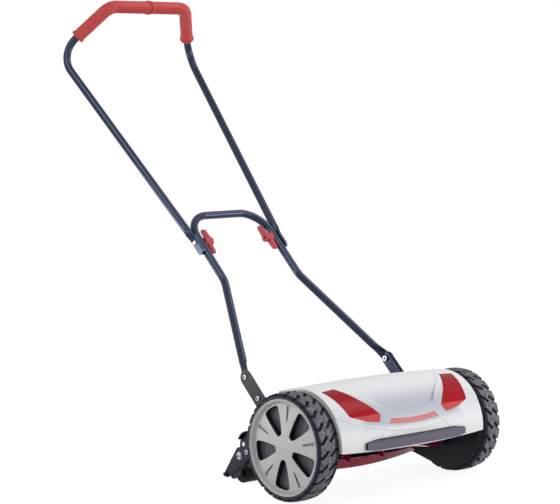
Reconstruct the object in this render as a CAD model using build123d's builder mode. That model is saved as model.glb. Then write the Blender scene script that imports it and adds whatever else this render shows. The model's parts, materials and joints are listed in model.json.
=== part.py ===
"""Push reel mower: five-blade reel driven by both wheels, under a moulded hood, with a folding handle.

Sizes are in millimetres. X runs across the machine (+X is the user's left), +Y points back to the
user, +Z up. The origin is on the ground under the middle of the machine's outer box.
"""

import os
from math import acos, asin, cos, degrees, hypot, pi, radians, sin, sqrt, tan

from build123d import *

os.makedirs("parts", exist_ok=True)

# ---------------------------------------------------------------- driving sizes
AXLE_Y = -328.975  # the axle line lies this far in front of the origin
WHEEL_RADIUS = 105.0
AXLE_Z = WHEEL_RADIUS
WHEEL_INNER_X = 206.0
WHEEL_OUTER_X = 255.0

PLATE_X = 199.0  # inner face of a side plate
PLATE_THICKNESS = 3.0
PLATE_OUTER_X = PLATE_X + PLATE_THICKNESS

GEAR_MODULE = 2.0
RING_TEETH = 65
PINION_TEETH = 15
GEAR_CENTRES = GEAR_MODULE * (RING_TEETH - PINION_TEETH) / 2
REEL_DROP_ANGLE = 15.6  # the reel sits behind and a little below the axle
REEL_Y = GEAR_CENTRES * cos(radians(REEL_DROP_ANGLE))
REEL_Z = AXLE_Z - GEAR_CENTRES * sin(radians(REEL_DROP_ANGLE))

REEL_RADIUS = 60.0
REEL_LENGTH = 380.0
BLADE_COUNT = 5
BLADE_TWIST = 72.0
SHAFT_RADIUS = 8.0

TUBE_RADIUS = 8.25
TUBE_WALL = 1.5

PIVOT_Y = 150.0  # height adjuster pivot, at the round rear corner of the side plates
PIVOT_Z = 71.0
ROLLER_Y = 194.0
ROLLER_RADIUS = 20.0
ROLLER_HALF = 184.0

HOOD_HALF = PLATE_X
HOOD_RADIUS = 110.0
HOOD_END_RADIUS = 105.5
HOOD_WALL = 2.8

HANDLE_RISE = 54.4  # the lower handle lies in the plane z = y + HANDLE_RISE
CLAMP_ALONG = 578.0  # fold axis, measured up that plane from under the axle

RUN = 0.05  # radial running clearance of a shaft in its hole


# ---------------------------------------------------------------- placing helpers
def at(x, y, z):
    """A point given from the ground under the middle of the axle line."""
    return Vector(x, AXLE_Y + y, z)


def across(x, y=0.0, z=0.0):
    """A plane facing +X at the given point, drawn in rearward and upward distances."""
    return Plane(origin=at(x, y, z), x_dir=(0, 1, 0), z_dir=(1, 0, 0))


def outboard(side, x, y, z):
    """A plane at a point on the left (1) or right (-1) of the machine, facing out from its middle."""
    return Plane(origin=at(side * x, y, z), x_dir=(0, 1, 0), z_dir=(side, 0, 0))


def polar(radius, angle):
    """A point in a sketch from its radius and its angle in degrees."""
    return (radius * cos(radians(angle)), radius * sin(radians(angle)))


def save(builder, name):
    """Label a finished piece and write its file."""
    builder.part.label = name
    export_step(builder.part, f"parts/{name}.step")


def save_pair(left_builder, name):
    """Write the left piece and its mirror image on the right."""
    save(left_builder, f"{name}_left")
    with BuildPart() as right_builder:
        mirror(left_builder.part, about=Plane.YZ)
    save(right_builder, f"{name}_right")
    return right_builder


def both_sides(left_builder, name):
    """Write a left piece and its mirror image as one group of like pieces."""
    with BuildPart() as group:
        add(left_builder.part)
        mirror(left_builder.part, about=Plane.YZ)
    save(group, name)


HANDLE_PLANE = Plane(origin=at(0, 0, HANDLE_RISE), x_dir=(1, 0, 0), z_dir=(0, -1, 1))
HOOD_FACE = Plane(origin=at(0, 0, AXLE_Z), x_dir=(1, 0, 0), z_dir=(0, -1, 1))


# ---------------------------------------------------------------- wheels
RIM_RADIUS = 93.8
RIM_WALL = 3.3
CAP_RADIUS = 93.5
CAP_BACK_X = 247.5
CAP_RIM_BACK_X = 242.8
CAP_BACK_POINTS = ((CAP_BACK_X, 20.0), (244.2, 34.0), (CAP_RIM_BACK_X, 84.5))
CAP_CENTRE_X = 250.8
SPOKE_RIM_X = 246.4
SPOKE_RIM_RADIUS = 84.5
WEB_THICKNESS = 3.0
POCKET_COUNT = 5
POCKET_FLOOR_X = 235.5
POCKET_ANGLE = 132.0  # of the first pocket, from the rearward direction
POCKET_TIP = 24.5
POCKET_RIM = 82.0
POCKET_TIP_HALF = 5.5
POCKET_RIM_HALF = 20.6
POCKET_BULGE = 1.8
SLIT_FLOOR_X = 245.3
LUG_COUNT = 24
LUG_DEPTH = 4.0
TYRE_EDGE_RADIUS = 98.6
TYRE_SHOULDER = 7.0
TYRE_FLANK = 15.0
HUB_RADIUS = 16.0
BUSH_RADIUS = 10.0
AXLE_RADIUS = 7.0
HUB_INNER_X = 208.0
HUB_END_X = 243.0
RING_INNER_X = 210.0
TOOTH_WIDTH = 21.0
PRESSURE_ANGLE = 20.0
BACKLASH = 0.35


def pocket_outline(grow=0.0):
    """Rounded wedge between two spokes, pointing along the sketch's x axis."""
    tip, rim = POCKET_TIP - grow, POCKET_RIM + grow
    low, high = POCKET_TIP_HALF + grow, POCKET_RIM_HALF + grow
    with BuildSketch(mode=Mode.PRIVATE) as outline:
        with BuildLine():
            corner = sqrt(rim**2 - high**2)
            side = ((tip + corner) / 2, (low + high) / 2 + POCKET_BULGE)
            ThreePointArc((corner, -high), (side[0], -side[1]), (tip, -low))
            Line((tip, -low), (tip, low))
            ThreePointArc((tip, low), side, (corner, high))
            ThreePointArc((corner, high), (rim, 0), (corner, -high))
        make_face()
        fillet(outline.vertices().group_by(Axis.X)[0], POCKET_TIP_HALF - 1.0)
        fillet(outline.vertices().group_by(Axis.X)[-1], 7.0)
    return outline.sketch


def tread_profile(depth=0.0):
    """Half section of the tyre in axial and radial distances, with its tread lowered by depth."""
    inner, outer = WHEEL_INNER_X, WHEEL_OUTER_X - 1.0
    crown = WHEEL_RADIUS - depth
    edge = TYRE_EDGE_RADIUS - depth
    shoulder = (crown + edge) / 2 + 1.6
    with BuildSketch(Plane.XY, mode=Mode.PRIVATE) as section:
        with BuildLine():
            Polyline(
                (inner, RIM_RADIUS), (inner, edge), (inner + 2.4, shoulder),
                (inner + TYRE_SHOULDER, crown - 0.9), (inner + TYRE_FLANK, crown),
                (outer - TYRE_FLANK, crown), (outer - TYRE_SHOULDER, crown - 0.9),
                (outer - 2.4, shoulder), (outer, edge), (outer, RIM_RADIUS), close=True,
            )
        make_face()
    return section.sketch


def turned(profile):
    """Turn a section drawn in axial and radial distances about the axle line."""
    with BuildPart(mode=Mode.PRIVATE) as ring:
        revolve(profile.moved(Location(at(0, 0, AXLE_Z))), axis=Axis(at(0, 0, AXLE_Z), (1, 0, 0)))
    return ring.part


def tooth_points(pitch_radius, teeth, tip, root, thickness, steps):
    """Outline points of one involute tooth centred on the x axis, from root to tip and back."""
    base = pitch_radius * cos(radians(PRESSURE_ANGLE))
    pitch_roll = tan(radians(PRESSURE_ANGLE)) - radians(PRESSURE_ANGLE)
    half = thickness / (2 * pitch_radius)
    flank = []
    for step in range(steps + 1):
        radius = root + (tip - root) * step / steps
        if radius > base:
            pressure = acos(base / radius)
            offset = half + pitch_roll - (tan(pressure) - pressure)
        else:
            offset = half + pitch_roll
        flank.append((radius, degrees(offset)))
    return [(r, -a) for r, a in flank] + [(r, a) for r, a in reversed(flank)]


def gear_outline(teeth, tip, root, thickness, steps, turn):
    """Closed outline of a gear's teeth, with a tooth centred on the angle turn."""
    pitch_radius = GEAR_MODULE * teeth / 2
    tooth = tooth_points(pitch_radius, teeth, tip, root, thickness, steps)
    points = []
    for number in range(teeth):
        for radius, angle in tooth:
            points.append(polar(radius, turn + angle + 360 * number / teeth))
    with BuildSketch(mode=Mode.PRIVATE) as outline:
        with BuildLine():
            Polyline(*points, close=True)
        make_face()
    return outline.sketch


with BuildPart() as tyre:
    add(turned(tread_profile()))
    groove_band = turned(tread_profile()) - turned(tread_profile(LUG_DEPTH))
    above_hub = Plane(origin=at(0, 0, AXLE_Z + 80), x_dir=(1, 0, 0), z_dir=(0, 0, 1))
    with BuildSketch(above_hub, mode=Mode.PRIVATE) as zigzag:
        for edge, inward, turn in ((WHEEL_OUTER_X, -1, 1), (WHEEL_INNER_X, 1, -1)):
            with BuildLine():
                Polyline(
                    (edge - 3 * inward, -3.2 * turn), (edge + 8 * inward, -3.2 * turn),
                    (edge + 19.5 * inward, 8.2 * turn), (edge + 24 * inward, 3.8 * turn),
                    (edge + 11 * inward, -9.6 * turn), (edge - 3 * inward, -9.6 * turn), close=True,
                )
            make_face()
    groove_cutter = extrude(zigzag.sketch, 40, mode=Mode.PRIVATE)
    turn_axis = Axis(at(0, 0, AXLE_Z), (1, 0, 0))
    cutters = [groove_cutter.rotate(turn_axis, 360 * n / LUG_COUNT) for n in range(LUG_COUNT)]
    add(groove_band & Compound(cutters), mode=Mode.SUBTRACT)
save_pair(tyre, "tyre")

with BuildPart() as wheel_body:
    with BuildSketch(across(HUB_INNER_X, 0, AXLE_Z)):
        Circle(HUB_RADIUS)
        Circle(BUSH_RADIUS, mode=Mode.SUBTRACT)
    extrude(amount=CAP_BACK_X - HUB_INNER_X)
    with BuildSketch(across(WHEEL_INNER_X + 1, 0, AXLE_Z)):
        Circle(RIM_RADIUS)
        Circle(RIM_RADIUS - RIM_WALL, mode=Mode.SUBTRACT)
    extrude(amount=CAP_RIM_BACK_X - WHEEL_INNER_X - 1)
    with BuildSketch(across(CAP_RIM_BACK_X - WEB_THICKNESS, 0, AXLE_Z)):
        Circle(RIM_RADIUS - RIM_WALL / 2)
        Circle(HUB_RADIUS - 3, mode=Mode.SUBTRACT)
    extrude(amount=WEB_THICKNESS)
    with BuildSketch(across(POCKET_FLOOR_X - 2.5, 0, AXLE_Z)):
        with PolarLocations(0, POCKET_COUNT, start_angle=POCKET_ANGLE):
            add(pocket_outline(2.2))
    extrude(amount=CAP_BACK_X - POCKET_FLOOR_X)
    with BuildSketch(across(RING_INNER_X, 0, AXLE_Z)):
        Circle(RING_TEETH * GEAR_MODULE / 2 + 7)
        add(
            gear_outline(
                RING_TEETH, RING_TEETH + 2.3, RING_TEETH - 1.7,
                pi * GEAR_MODULE / 2 + BACKLASH, 2, -REEL_DROP_ANGLE,
            ),
            mode=Mode.SUBTRACT,
        )
    extrude(amount=TOOTH_WIDTH)
    with BuildSketch(across(RING_INNER_X + TOOTH_WIDTH, 0, AXLE_Z)):
        Circle(RING_TEETH * GEAR_MODULE / 2 + 7)
        Circle(RING_TEETH * GEAR_MODULE / 2 + 3.5, mode=Mode.SUBTRACT)
    extrude(amount=CAP_RIM_BACK_X - RING_INNER_X - TOOTH_WIDTH)
    with BuildSketch(across(POCKET_FLOOR_X, 0, AXLE_Z)):
        with PolarLocations(0, POCKET_COUNT, start_angle=POCKET_ANGLE):
            add(pocket_outline())
    extrude(amount=20, mode=Mode.SUBTRACT)
    with BuildSketch(Plane.XY, mode=Mode.PRIVATE) as cap_seat:
        with BuildLine():
            Polyline(
                *CAP_BACK_POINTS, (CAP_RIM_BACK_X, RIM_RADIUS + 1), (WHEEL_OUTER_X, RIM_RADIUS + 1),
                (WHEEL_OUTER_X, CAP_BACK_POINTS[0][1]), close=True,
            )
        make_face()
    add(turned(cap_seat.sketch), mode=Mode.SUBTRACT)
save_pair(wheel_body, "wheel_body")

with BuildPart() as wheel_bush:
    with BuildSketch(across(HUB_INNER_X, 0, AXLE_Z)):
        Circle(BUSH_RADIUS)
        Circle(AXLE_RADIUS + RUN, mode=Mode.SUBTRACT)
    extrude(amount=HUB_END_X - HUB_INNER_X)
save_pair(wheel_bush, "wheel_bush")

with BuildSketch(mode=Mode.PRIVATE) as spoke_wedge:
    with BuildLine():
        Polyline((50, -0.9), (50, 0.9), (81.5, 3.9), (81.5, -3.9), close=True)
    make_face()

with BuildPart() as wheel_cap:
    with BuildSketch(Plane.XY, mode=Mode.PRIVATE) as cap_section:
        with BuildLine():
            Polyline(
                (CAP_BACK_X, 0), *CAP_BACK_POINTS,
                (CAP_RIM_BACK_X, CAP_RADIUS), (WHEEL_OUTER_X - 1.2, CAP_RADIUS),
                (WHEEL_OUTER_X, CAP_RADIUS - 1.2), (WHEEL_OUTER_X, CAP_RADIUS - 2.4),
                (SPOKE_RIM_X, SPOKE_RIM_RADIUS), (CAP_CENTRE_X, 0), close=True,
            )
        make_face()
    add(turned(cap_section.sketch))
    with BuildSketch(across(CAP_RIM_BACK_X - 1, 0, AXLE_Z)):
        with PolarLocations(0, POCKET_COUNT, start_angle=POCKET_ANGLE):
            add(pocket_outline())
    extrude(amount=20, mode=Mode.SUBTRACT)
    with BuildSketch(across(SLIT_FLOOR_X, 0, AXLE_Z)):
        with PolarLocations(0, POCKET_COUNT, start_angle=POCKET_ANGLE + 180 / POCKET_COUNT):
            add(spoke_wedge.sketch)
    extrude(amount=20, mode=Mode.SUBTRACT)
save_pair(wheel_cap, "wheel_cap")

# ---------------------------------------------------------------- side plates and what they carry
TONGUE_HALF = 15.5
TONGUE_END = 244.0  # up the handle plane
FRAME_BOLTS = (177.0, 230.5)  # up the handle plane
FRAME_BOLT_RADIUS = 3.0
CASE_RADIUS = 97.0  # the plate closes the wheel's gear case all round
CASE_BACK_ANGLE = 60.0
CASE_SWEEP = 215.0
KEEL_POINTS = ((130.0, 36.0), (81.0, 27.0))
LOBE_Y, LOBE_Z = 146.0, 80.5
LOBE_RADIUS = 33.0
LOBE_SWEEP = 95.0
SECTOR_RADIUS = 31.7  # round the height slot
SECTOR_START = 4.0
SECTOR_SWEEP = 70.0
FLANGE_REACH = 8.0
FLANGE_WALL = 2.0
FLANGE_START = 23.0
FLANGE_SWEEP = 75.0
FLUSH_SCREW_SPOT = (168.0, 83.0)
INDEX_RADIUS = 25.0
INDEX_START = -24.5
HEIGHT_TRAVEL = 30.0  # degrees the roller arms can turn on their pivots
SLOT_GAP = 0.3
PIVOT_BOLT_RADIUS = 4.0
TIE_Y, TIE_Z = -62.0, 142.0
TIE_RADIUS = 7.0
SPIGOT_RADIUS = 4.0
BEARING_RADIUS = 13.0
BED_SCREW_SPOTS = ((112.0, 44.0), (112.0, 58.0))
BED_SCREW_RADIUS = 2.5
BED_SCREW_LENGTH = 9.0
SCREW_HEAD_RADIUS = 4.5
SCREW_HEAD_HEIGHT = 2.4
BED_TAB = (15.0, 30.0)
COVER_RADIUS = 86.0
COVER_THICKNESS = 2.0
COVER_LIP = 5.0
AXLE_FLANGE = 3.0
AXLE_END_X = 246.0
CLIP_X = 243.4
CLIP_THICKNESS = 1.2
BEARING_FLANGE = 3.0
BEARING_END_X = 206.0
BED_HALF = 196.0
BED_FRONT_Y = 84.0
BED_BACK_Y = 108.0
BED_Z = 37.5
BED_TOP_Z = 62.0
BED_WALL = 3.0
KNIFE_HALF = 192.0
KNIFE_EDGE_ANGLE = 26.0  # behind the bottom of the reel
KNIFE_GAP = 0.3
KNIFE_BACK_Y = 104.0
KNIFE_THICKNESS = 2.8
KNIFE_EDGE = (
    REEL_Y + (REEL_RADIUS + KNIFE_GAP) * sin(radians(KNIFE_EDGE_ANGLE)),
    REEL_Z - (REEL_RADIUS + KNIFE_GAP) * cos(radians(KNIFE_EDGE_ANGLE)),
)
KNIFE_SCREW_Y = 96.0
HOOD_SCREW_CIRCLE = 93.0
HOOD_SCREW_ANGLES = (80.0, 122.0, 164.0)
KNIFE_SCREW_X = (-150.0, -75.0, 0.0, 75.0, 150.0)


def up_handle(along):
    """Rearward and upward distances of a point up the handle plane."""
    return (along / sqrt(2), HANDLE_RISE + along / sqrt(2))


def plate_outline():
    """Side plate seen from the left: round gear case in front, straight keel, round lobe at the rear."""
    with BuildSketch(mode=Mode.PRIVATE) as outline:
        with BuildLine():
            case = CenterArc((0, AXLE_Z), CASE_RADIUS, CASE_BACK_ANGLE, CASE_SWEEP)
            lobe = CenterArc((LOBE_Y, LOBE_Z), LOBE_RADIUS, 90, -LOBE_SWEEP)
            sector = CenterArc((PIVOT_Y, PIVOT_Z), SECTOR_RADIUS, SECTOR_START, -SECTOR_SWEEP)
            Polyline(case @ 0, (PIVOT_Y - 25, PIVOT_Z + 60), lobe @ 0)
            Line(lobe @ 1, sector @ 0)
            Polyline(sector @ 1, *KEEL_POINTS, case @ 1)
        make_face()
    return outline.sketch


with BuildLine() as height_arc:
    CenterArc((0, 0), INDEX_RADIUS, INDEX_START, HEIGHT_TRAVEL)

with BuildPart() as side_plate:
    with BuildSketch(across(PLATE_X)) as plate_sketch:
        add(plate_outline())
        with BuildLine():
            low, high = up_handle(120), up_handle(TONGUE_END - TONGUE_HALF)
            side = TONGUE_HALF / sqrt(2)
            Polyline(
                (low[0] + side, low[1] - side), (high[0] + side, high[1] - side),
                (high[0] - side, high[1] + side), (low[0] - side, low[1] + side), close=True,
            )
        make_face()
        with Locations(up_handle(TONGUE_END - TONGUE_HALF)):
            Circle(TONGUE_HALF)
        with Locations(*[up_handle(bolt) for bolt in FRAME_BOLTS]):
            Circle(FRAME_BOLT_RADIUS, mode=Mode.SUBTRACT)
        with Locations((PIVOT_Y, PIVOT_Z)):
            Circle(PIVOT_BOLT_RADIUS + RUN, mode=Mode.SUBTRACT)
            SlotArc(height_arc.edge(), 2 * (FRAME_BOLT_RADIUS + SLOT_GAP), mode=Mode.SUBTRACT)
        with Locations((0, AXLE_Z)):
            Circle(AXLE_RADIUS, mode=Mode.SUBTRACT)
        with Locations((REEL_Y, REEL_Z)):
            Circle(BEARING_RADIUS, mode=Mode.SUBTRACT)
        with Locations((TIE_Y, TIE_Z)):
            Circle(SPIGOT_RADIUS, mode=Mode.SUBTRACT)
        with Locations(*BED_SCREW_SPOTS, FLUSH_SCREW_SPOT):
            Circle(BED_SCREW_RADIUS, mode=Mode.SUBTRACT)
        with Locations((0, AXLE_Z)):
            with Locations(*[polar(HOOD_SCREW_CIRCLE, angle) for angle in HOOD_SCREW_ANGLES]):
                Circle(BED_SCREW_RADIUS, mode=Mode.SUBTRACT)
    extrude(amount=PLATE_THICKNESS)
    with BuildSketch(across(PLATE_OUTER_X, LOBE_Y, LOBE_Z)):
        with BuildLine():
            CenterArc((0, 0), LOBE_RADIUS, FLANGE_START, FLANGE_SWEEP)
            CenterArc((0, 0), LOBE_RADIUS - FLANGE_WALL, FLANGE_START, FLANGE_SWEEP)
            for angle in (FLANGE_START, FLANGE_START + FLANGE_SWEEP):
                Line(polar(LOBE_RADIUS, angle), polar(LOBE_RADIUS - FLANGE_WALL, angle))
        make_face()
    extrude(amount=FLANGE_REACH)
save_pair(side_plate, "side_plate")

with BuildPart() as gear_cover:
    with BuildSketch(across(PLATE_OUTER_X, 0, AXLE_Z)):
        Circle(COVER_RADIUS)
        Circle(AXLE_RADIUS, mode=Mode.SUBTRACT)
        with Locations((REEL_Y, REEL_Z - AXLE_Z)):
            Circle(BEARING_RADIUS, mode=Mode.SUBTRACT)
    extrude(amount=COVER_THICKNESS)
    with BuildSketch(across(PLATE_OUTER_X + COVER_THICKNESS, 0, AXLE_Z)):
        Circle(COVER_RADIUS)
        Circle(COVER_RADIUS - 2, mode=Mode.SUBTRACT)
    extrude(amount=COVER_LIP)
save_pair(gear_cover, "gear_cover")

with BuildPart() as wheel_axle:
    with BuildSketch(across(PLATE_X - AXLE_FLANGE, 0, AXLE_Z)):
        Circle(2 * AXLE_RADIUS)
    extrude(amount=AXLE_FLANGE)
    with BuildSketch(across(PLATE_X, 0, AXLE_Z)):
        Circle(AXLE_RADIUS)
    extrude(amount=AXLE_END_X - PLATE_X)
    chamfer(wheel_axle.faces().sort_by(Axis.X)[-1].edges(), 0.8)
    with BuildSketch(across(CLIP_X, 0, AXLE_Z)):
        Circle(AXLE_RADIUS + 1)
        Circle(AXLE_RADIUS - 1, mode=Mode.SUBTRACT)
    extrude(amount=CLIP_THICKNESS, mode=Mode.SUBTRACT)
save_pair(wheel_axle, "wheel_axle")

with BuildPart() as axle_clip:
    with BuildSketch(across(CLIP_X, 0, AXLE_Z)):
        Circle(AXLE_RADIUS + 2.5)
        Circle(AXLE_RADIUS - 1, mode=Mode.SUBTRACT)
        mouth = (2 * (AXLE_RADIUS + 3), 2 * (AXLE_RADIUS - 2.5))
        Rectangle(*mouth, align=(Align.MIN, Align.CENTER), mode=Mode.SUBTRACT)
    extrude(amount=CLIP_THICKNESS)
both_sides(axle_clip, "axle_clips")

with BuildPart() as reel_bearing:
    with BuildSketch(across(PLATE_X - BEARING_FLANGE, REEL_Y, REEL_Z)):
        Circle(BEARING_RADIUS + 3)
        Circle(SHAFT_RADIUS + RUN, mode=Mode.SUBTRACT)
    extrude(amount=BEARING_FLANGE)
    with BuildSketch(across(PLATE_X, REEL_Y, REEL_Z)):
        Circle(BEARING_RADIUS)
        Circle(SHAFT_RADIUS + RUN, mode=Mode.SUBTRACT)
    extrude(amount=BEARING_END_X - PLATE_X)
save_pair(reel_bearing, "reel_bearing")

with BuildPart() as front_tie_bar:
    with BuildSketch(across(-PLATE_X, TIE_Y, TIE_Z)):
        Circle(TIE_RADIUS)
    extrude(amount=2 * PLATE_X)
    with BuildSketch(across(-PLATE_OUTER_X, TIE_Y, TIE_Z)):
        Circle(SPIGOT_RADIUS)
    extrude(amount=2 * PLATE_OUTER_X)
save(front_tie_bar, "front_tie_bar")

with BuildPart() as bed_bar:
    with BuildSketch(across(-BED_HALF)) as bed_section:
        with BuildLine():
            Polyline(
                (BED_FRONT_Y, BED_Z), (BED_BACK_Y, BED_Z), (BED_BACK_Y, BED_TOP_Z),
                (BED_BACK_Y - BED_WALL, BED_TOP_Z), (BED_BACK_Y - BED_WALL, BED_Z + BED_WALL),
                (BED_FRONT_Y, BED_Z + BED_WALL), close=True,
            )
        make_face()
    extrude(amount=2 * BED_HALF)
    fillet(bed_bar.edges().filter_by(Axis.X).sort_by(Axis.Y)[-2:].sort_by(Axis.Z)[0], 3.0)
    for side in (-1, 1):
        with BuildSketch(across(side * (PLATE_X - BED_WALL / 2) - BED_WALL / 2)):
            with Locations((BED_SCREW_SPOTS[0][0], (BED_SCREW_SPOTS[0][1] + BED_SCREW_SPOTS[1][1]) / 2)):
                RectangleRounded(*BED_TAB, 3)
            with Locations(*BED_SCREW_SPOTS):
                Circle(BED_SCREW_RADIUS, mode=Mode.SUBTRACT)
        extrude(amount=BED_WALL)
    with BuildSketch(Plane(origin=at(0, 0, BED_Z - 1), x_dir=(1, 0, 0), z_dir=(0, 0, 1))):
        with Locations(*[(x, KNIFE_SCREW_Y) for x in KNIFE_SCREW_X]):
            Circle(BED_SCREW_RADIUS)
    extrude(amount=BED_WALL + 2, mode=Mode.SUBTRACT)
save(bed_bar, "bed_bar")

with BuildPart() as bed_knife:
    with BuildSketch(across(-KNIFE_HALF)):
        with BuildLine():
            Polyline(
                KNIFE_EDGE, (BED_FRONT_Y, BED_Z), (KNIFE_BACK_Y, BED_Z),
                (KNIFE_BACK_Y, BED_Z - KNIFE_THICKNESS),
                (KNIFE_EDGE[0] + 3, BED_Z - KNIFE_THICKNESS), close=True,
            )
        make_face()
    extrude(amount=2 * KNIFE_HALF)
    with BuildSketch(Plane(origin=at(0, 0, BED_Z - KNIFE_THICKNESS - 1), x_dir=(1, 0, 0), z_dir=(0, 0, 1))):
        with Locations(*[(x, KNIFE_SCREW_Y) for x in KNIFE_SCREW_X]):
            Circle(BED_SCREW_RADIUS)
    extrude(amount=KNIFE_THICKNESS + 2, mode=Mode.SUBTRACT)
save(bed_knife, "bed_knife")


def screw(plane, shank_radius, length, head_radius, head_height):
    """A round-headed screw whose head stands on the plane and whose shank goes back through it."""
    with BuildPart(mode=Mode.PRIVATE) as body:
        with BuildSketch(plane):
            Circle(head_radius)
        extrude(amount=head_height)
        outward = Axis(plane.origin, plane.z_dir)
        chamfer(body.edges().sort_by(outward)[-1], head_height * 0.45)
        with BuildSketch(plane):
            Circle(shank_radius)
        extrude(amount=-length)
    return body.part


with BuildPart() as knife_screws:
    for x in KNIFE_SCREW_X:
        spot = at(x, KNIFE_SCREW_Y, BED_Z - KNIFE_THICKNESS)
        under_knife = Plane(origin=spot, x_dir=(1, 0, 0), z_dir=(0, 0, -1))
        add(screw(under_knife, BED_SCREW_RADIUS, BED_SCREW_LENGTH, SCREW_HEAD_RADIUS, SCREW_HEAD_HEIGHT))
    for side in (-1, 1):
        for y, z in BED_SCREW_SPOTS:
            outside = outboard(side, PLATE_OUTER_X, y, z)
            add(screw(outside, BED_SCREW_RADIUS, BED_SCREW_LENGTH, SCREW_HEAD_RADIUS, SCREW_HEAD_HEIGHT))
        flush = outboard(side, PLATE_OUTER_X, *FLUSH_SCREW_SPOT)
        add(screw(flush, BED_SCREW_RADIUS, BED_SCREW_LENGTH, SCREW_HEAD_RADIUS, 0.4))
save(knife_screws, "bed_screws")

# ---------------------------------------------------------------- hood
HOOD_FRONT_Z = 93.5  # lower front edge in the middle
HOOD_FRONT_END_Z = 100.0  # the edge sweeps up towards the wheels
HOOD_BACK_Y = 59.0
HOOD_BACK_Z = 206.0
HOOD_BACK_DROP = 9.0
HOOD_END_BACK = 9.0  # the rear edge sweeps back and down towards the wheels
HOOD_END_DROP = 6.0
CREASE_RADIUS = 492.0
CREASE_LOW = -62.0
PANEL_RISE = 1.2
RECESS_DEPTH = 12.0
INSERT_DEPTH = 1.6
END_FLANGE_WALL = 3.0
END_FLANGE_DEPTH = 12.0
BUMPER_POINTS = ((0, 118.8), (106.0, 118.8), (139.0, 114.0), (139.0, 100.8), (115.0, 97.6), (0, 97.6))
BUMPER_RADIUS = 117.5
BUMPER_END_RADIUS = 113.0


def hood_section(x, grow, spread):
    """Closed side section of the hood block at x: front arc, flat top and rear edge, offset by grow."""
    crown = (x / HOOD_HALF) ** 2
    radius = HOOD_RADIUS - (HOOD_RADIUS - HOOD_END_RADIUS) * crown
    front_z = HOOD_FRONT_Z + (HOOD_FRONT_END_Z - HOOD_FRONT_Z) * crown
    front_angle = 180 - degrees(asin((front_z - AXLE_Z) / radius)) + spread / 2
    radius += grow
    back_y = HOOD_BACK_Y + HOOD_END_BACK * crown + grow
    back = (back_y, HOOD_BACK_Z - HOOD_END_DROP * crown - AXLE_Z + grow)
    reach = hypot(*back)
    tangent_angle = degrees(acos(radius / reach)) + degrees(asin(back[1] / reach))
    drop = back[1] - HOOD_BACK_DROP - spread
    with BuildSketch(across(x, 0, AXLE_Z), mode=Mode.PRIVATE) as section:
        with BuildLine():
            front, top = polar(radius, front_angle), polar(radius, tangent_angle)
            ThreePointArc(front, polar(radius, (front_angle + tangent_angle) / 2), top)
            Polyline(top, back, (back[0], drop), (10, -spread), front)
        make_face()
    return section.sketch.faces()[0]


def hood_block(grow, spread=0.0, half=HOOD_HALF):
    """Crowned block with the hood's outer form, offset by grow."""
    sections = [hood_section(x, grow, spread) for x in (-half, 0, half)]
    with BuildPart(mode=Mode.PRIVATE) as block:
        loft(sections)
    return block.part


def bumper_section(middle_radius, end_radius):
    """Bowed section that limits how far the bumper stands out, in axial and radial distances."""
    with BuildSketch(mode=Mode.PRIVATE) as section:
        with BuildLine():
            left, right = (-HOOD_HALF, end_radius - 4), (HOOD_HALF, end_radius - 4)
            ThreePointArc(left, (0, middle_radius), right)
            Polyline(right, (HOOD_HALF, 0), (-HOOD_HALF, 0), left)
        make_face()
    return section.sketch


def face_prism(outline, depth=160.0, start=0.0):
    """A prism standing out from the hood's face plane over an outline drawn on it."""
    with BuildPart(mode=Mode.PRIVATE) as prism:
        with BuildSketch(HOOD_FACE.offset(start)):
            add(outline)
        extrude(amount=depth)
    return prism.part


def mirrored_outline(points, corner=0.0):
    """A closed outline symmetric about the middle of the hood, from its right half."""
    with BuildSketch(mode=Mode.PRIVATE) as outline:
        with BuildLine():
            Polyline(*points, *[(-x, y) for x, y in reversed(points) if x > 0], close=True)
        make_face()
        if corner:
            fillet(outline.vertices(), corner)
    return outline.sketch


def arc_band(low, high, half_low, half_high):
    """A band that follows the crease curve, between two heights in the middle."""
    def rise(x):
        return CREASE_RADIUS - sqrt(CREASE_RADIUS**2 - x**2)

    with BuildSketch(mode=Mode.PRIVATE) as band:
        with BuildLine():
            bottom_left, bottom_right = (-half_low, low + rise(half_low)), (half_low, low + rise(half_low))
            top_left, top_right = (-half_high, high + rise(half_high)), (half_high, high + rise(half_high))
            ThreePointArc(bottom_left, (0, low), bottom_right)
            Line(bottom_right, top_right)
            ThreePointArc(top_right, (0, high), top_left)
            Line(top_left, bottom_left)
        make_face()
    return band.sketch


INSERT_POINTS = (
    (85.0, -27.0), (94.0, -41.0), (128.0, -35.0), (164.5, -21.5), (171.5, 4.0), (183.0, 50.0), (149.0, 53.0),
    (131.5, 29.0), (116.0, 8.0), (100.0, -9.0),
)
with BuildSketch(mode=Mode.PRIVATE) as insert_outline:
    with BuildLine():
        Polyline(*INSERT_POINTS, close=True)
    make_face()
    fillet(insert_outline.vertices().sort_by(Axis.Y)[3], 6.0)

RECESS_RIM = (
    (0, -25.0), (44.0, -23.0), (68.0, -18.0), (76.0, -8.0), (88.0, 6.0), (115.0, 29.0), (152.0, 48.0),
    (183.0, 56.0), (197.0, 58.0), (197.0, 130.0),
)
RECESS_FOOT = (
    (0, 1.0), (38.0, 2.0), (55.0, 5.0), (59.0, 11.0), (70.0, 25.0), (98.0, 49.0), (140.0, 71.0),
    (176.0, 81.0), (190.0, 84.0), (190.0, 130.0),
)
RECESS_RIM_HEIGHT = 106.0  # out from the face plane through the axle line
RECESS_FOOT_HEIGHT = 80.0


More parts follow.
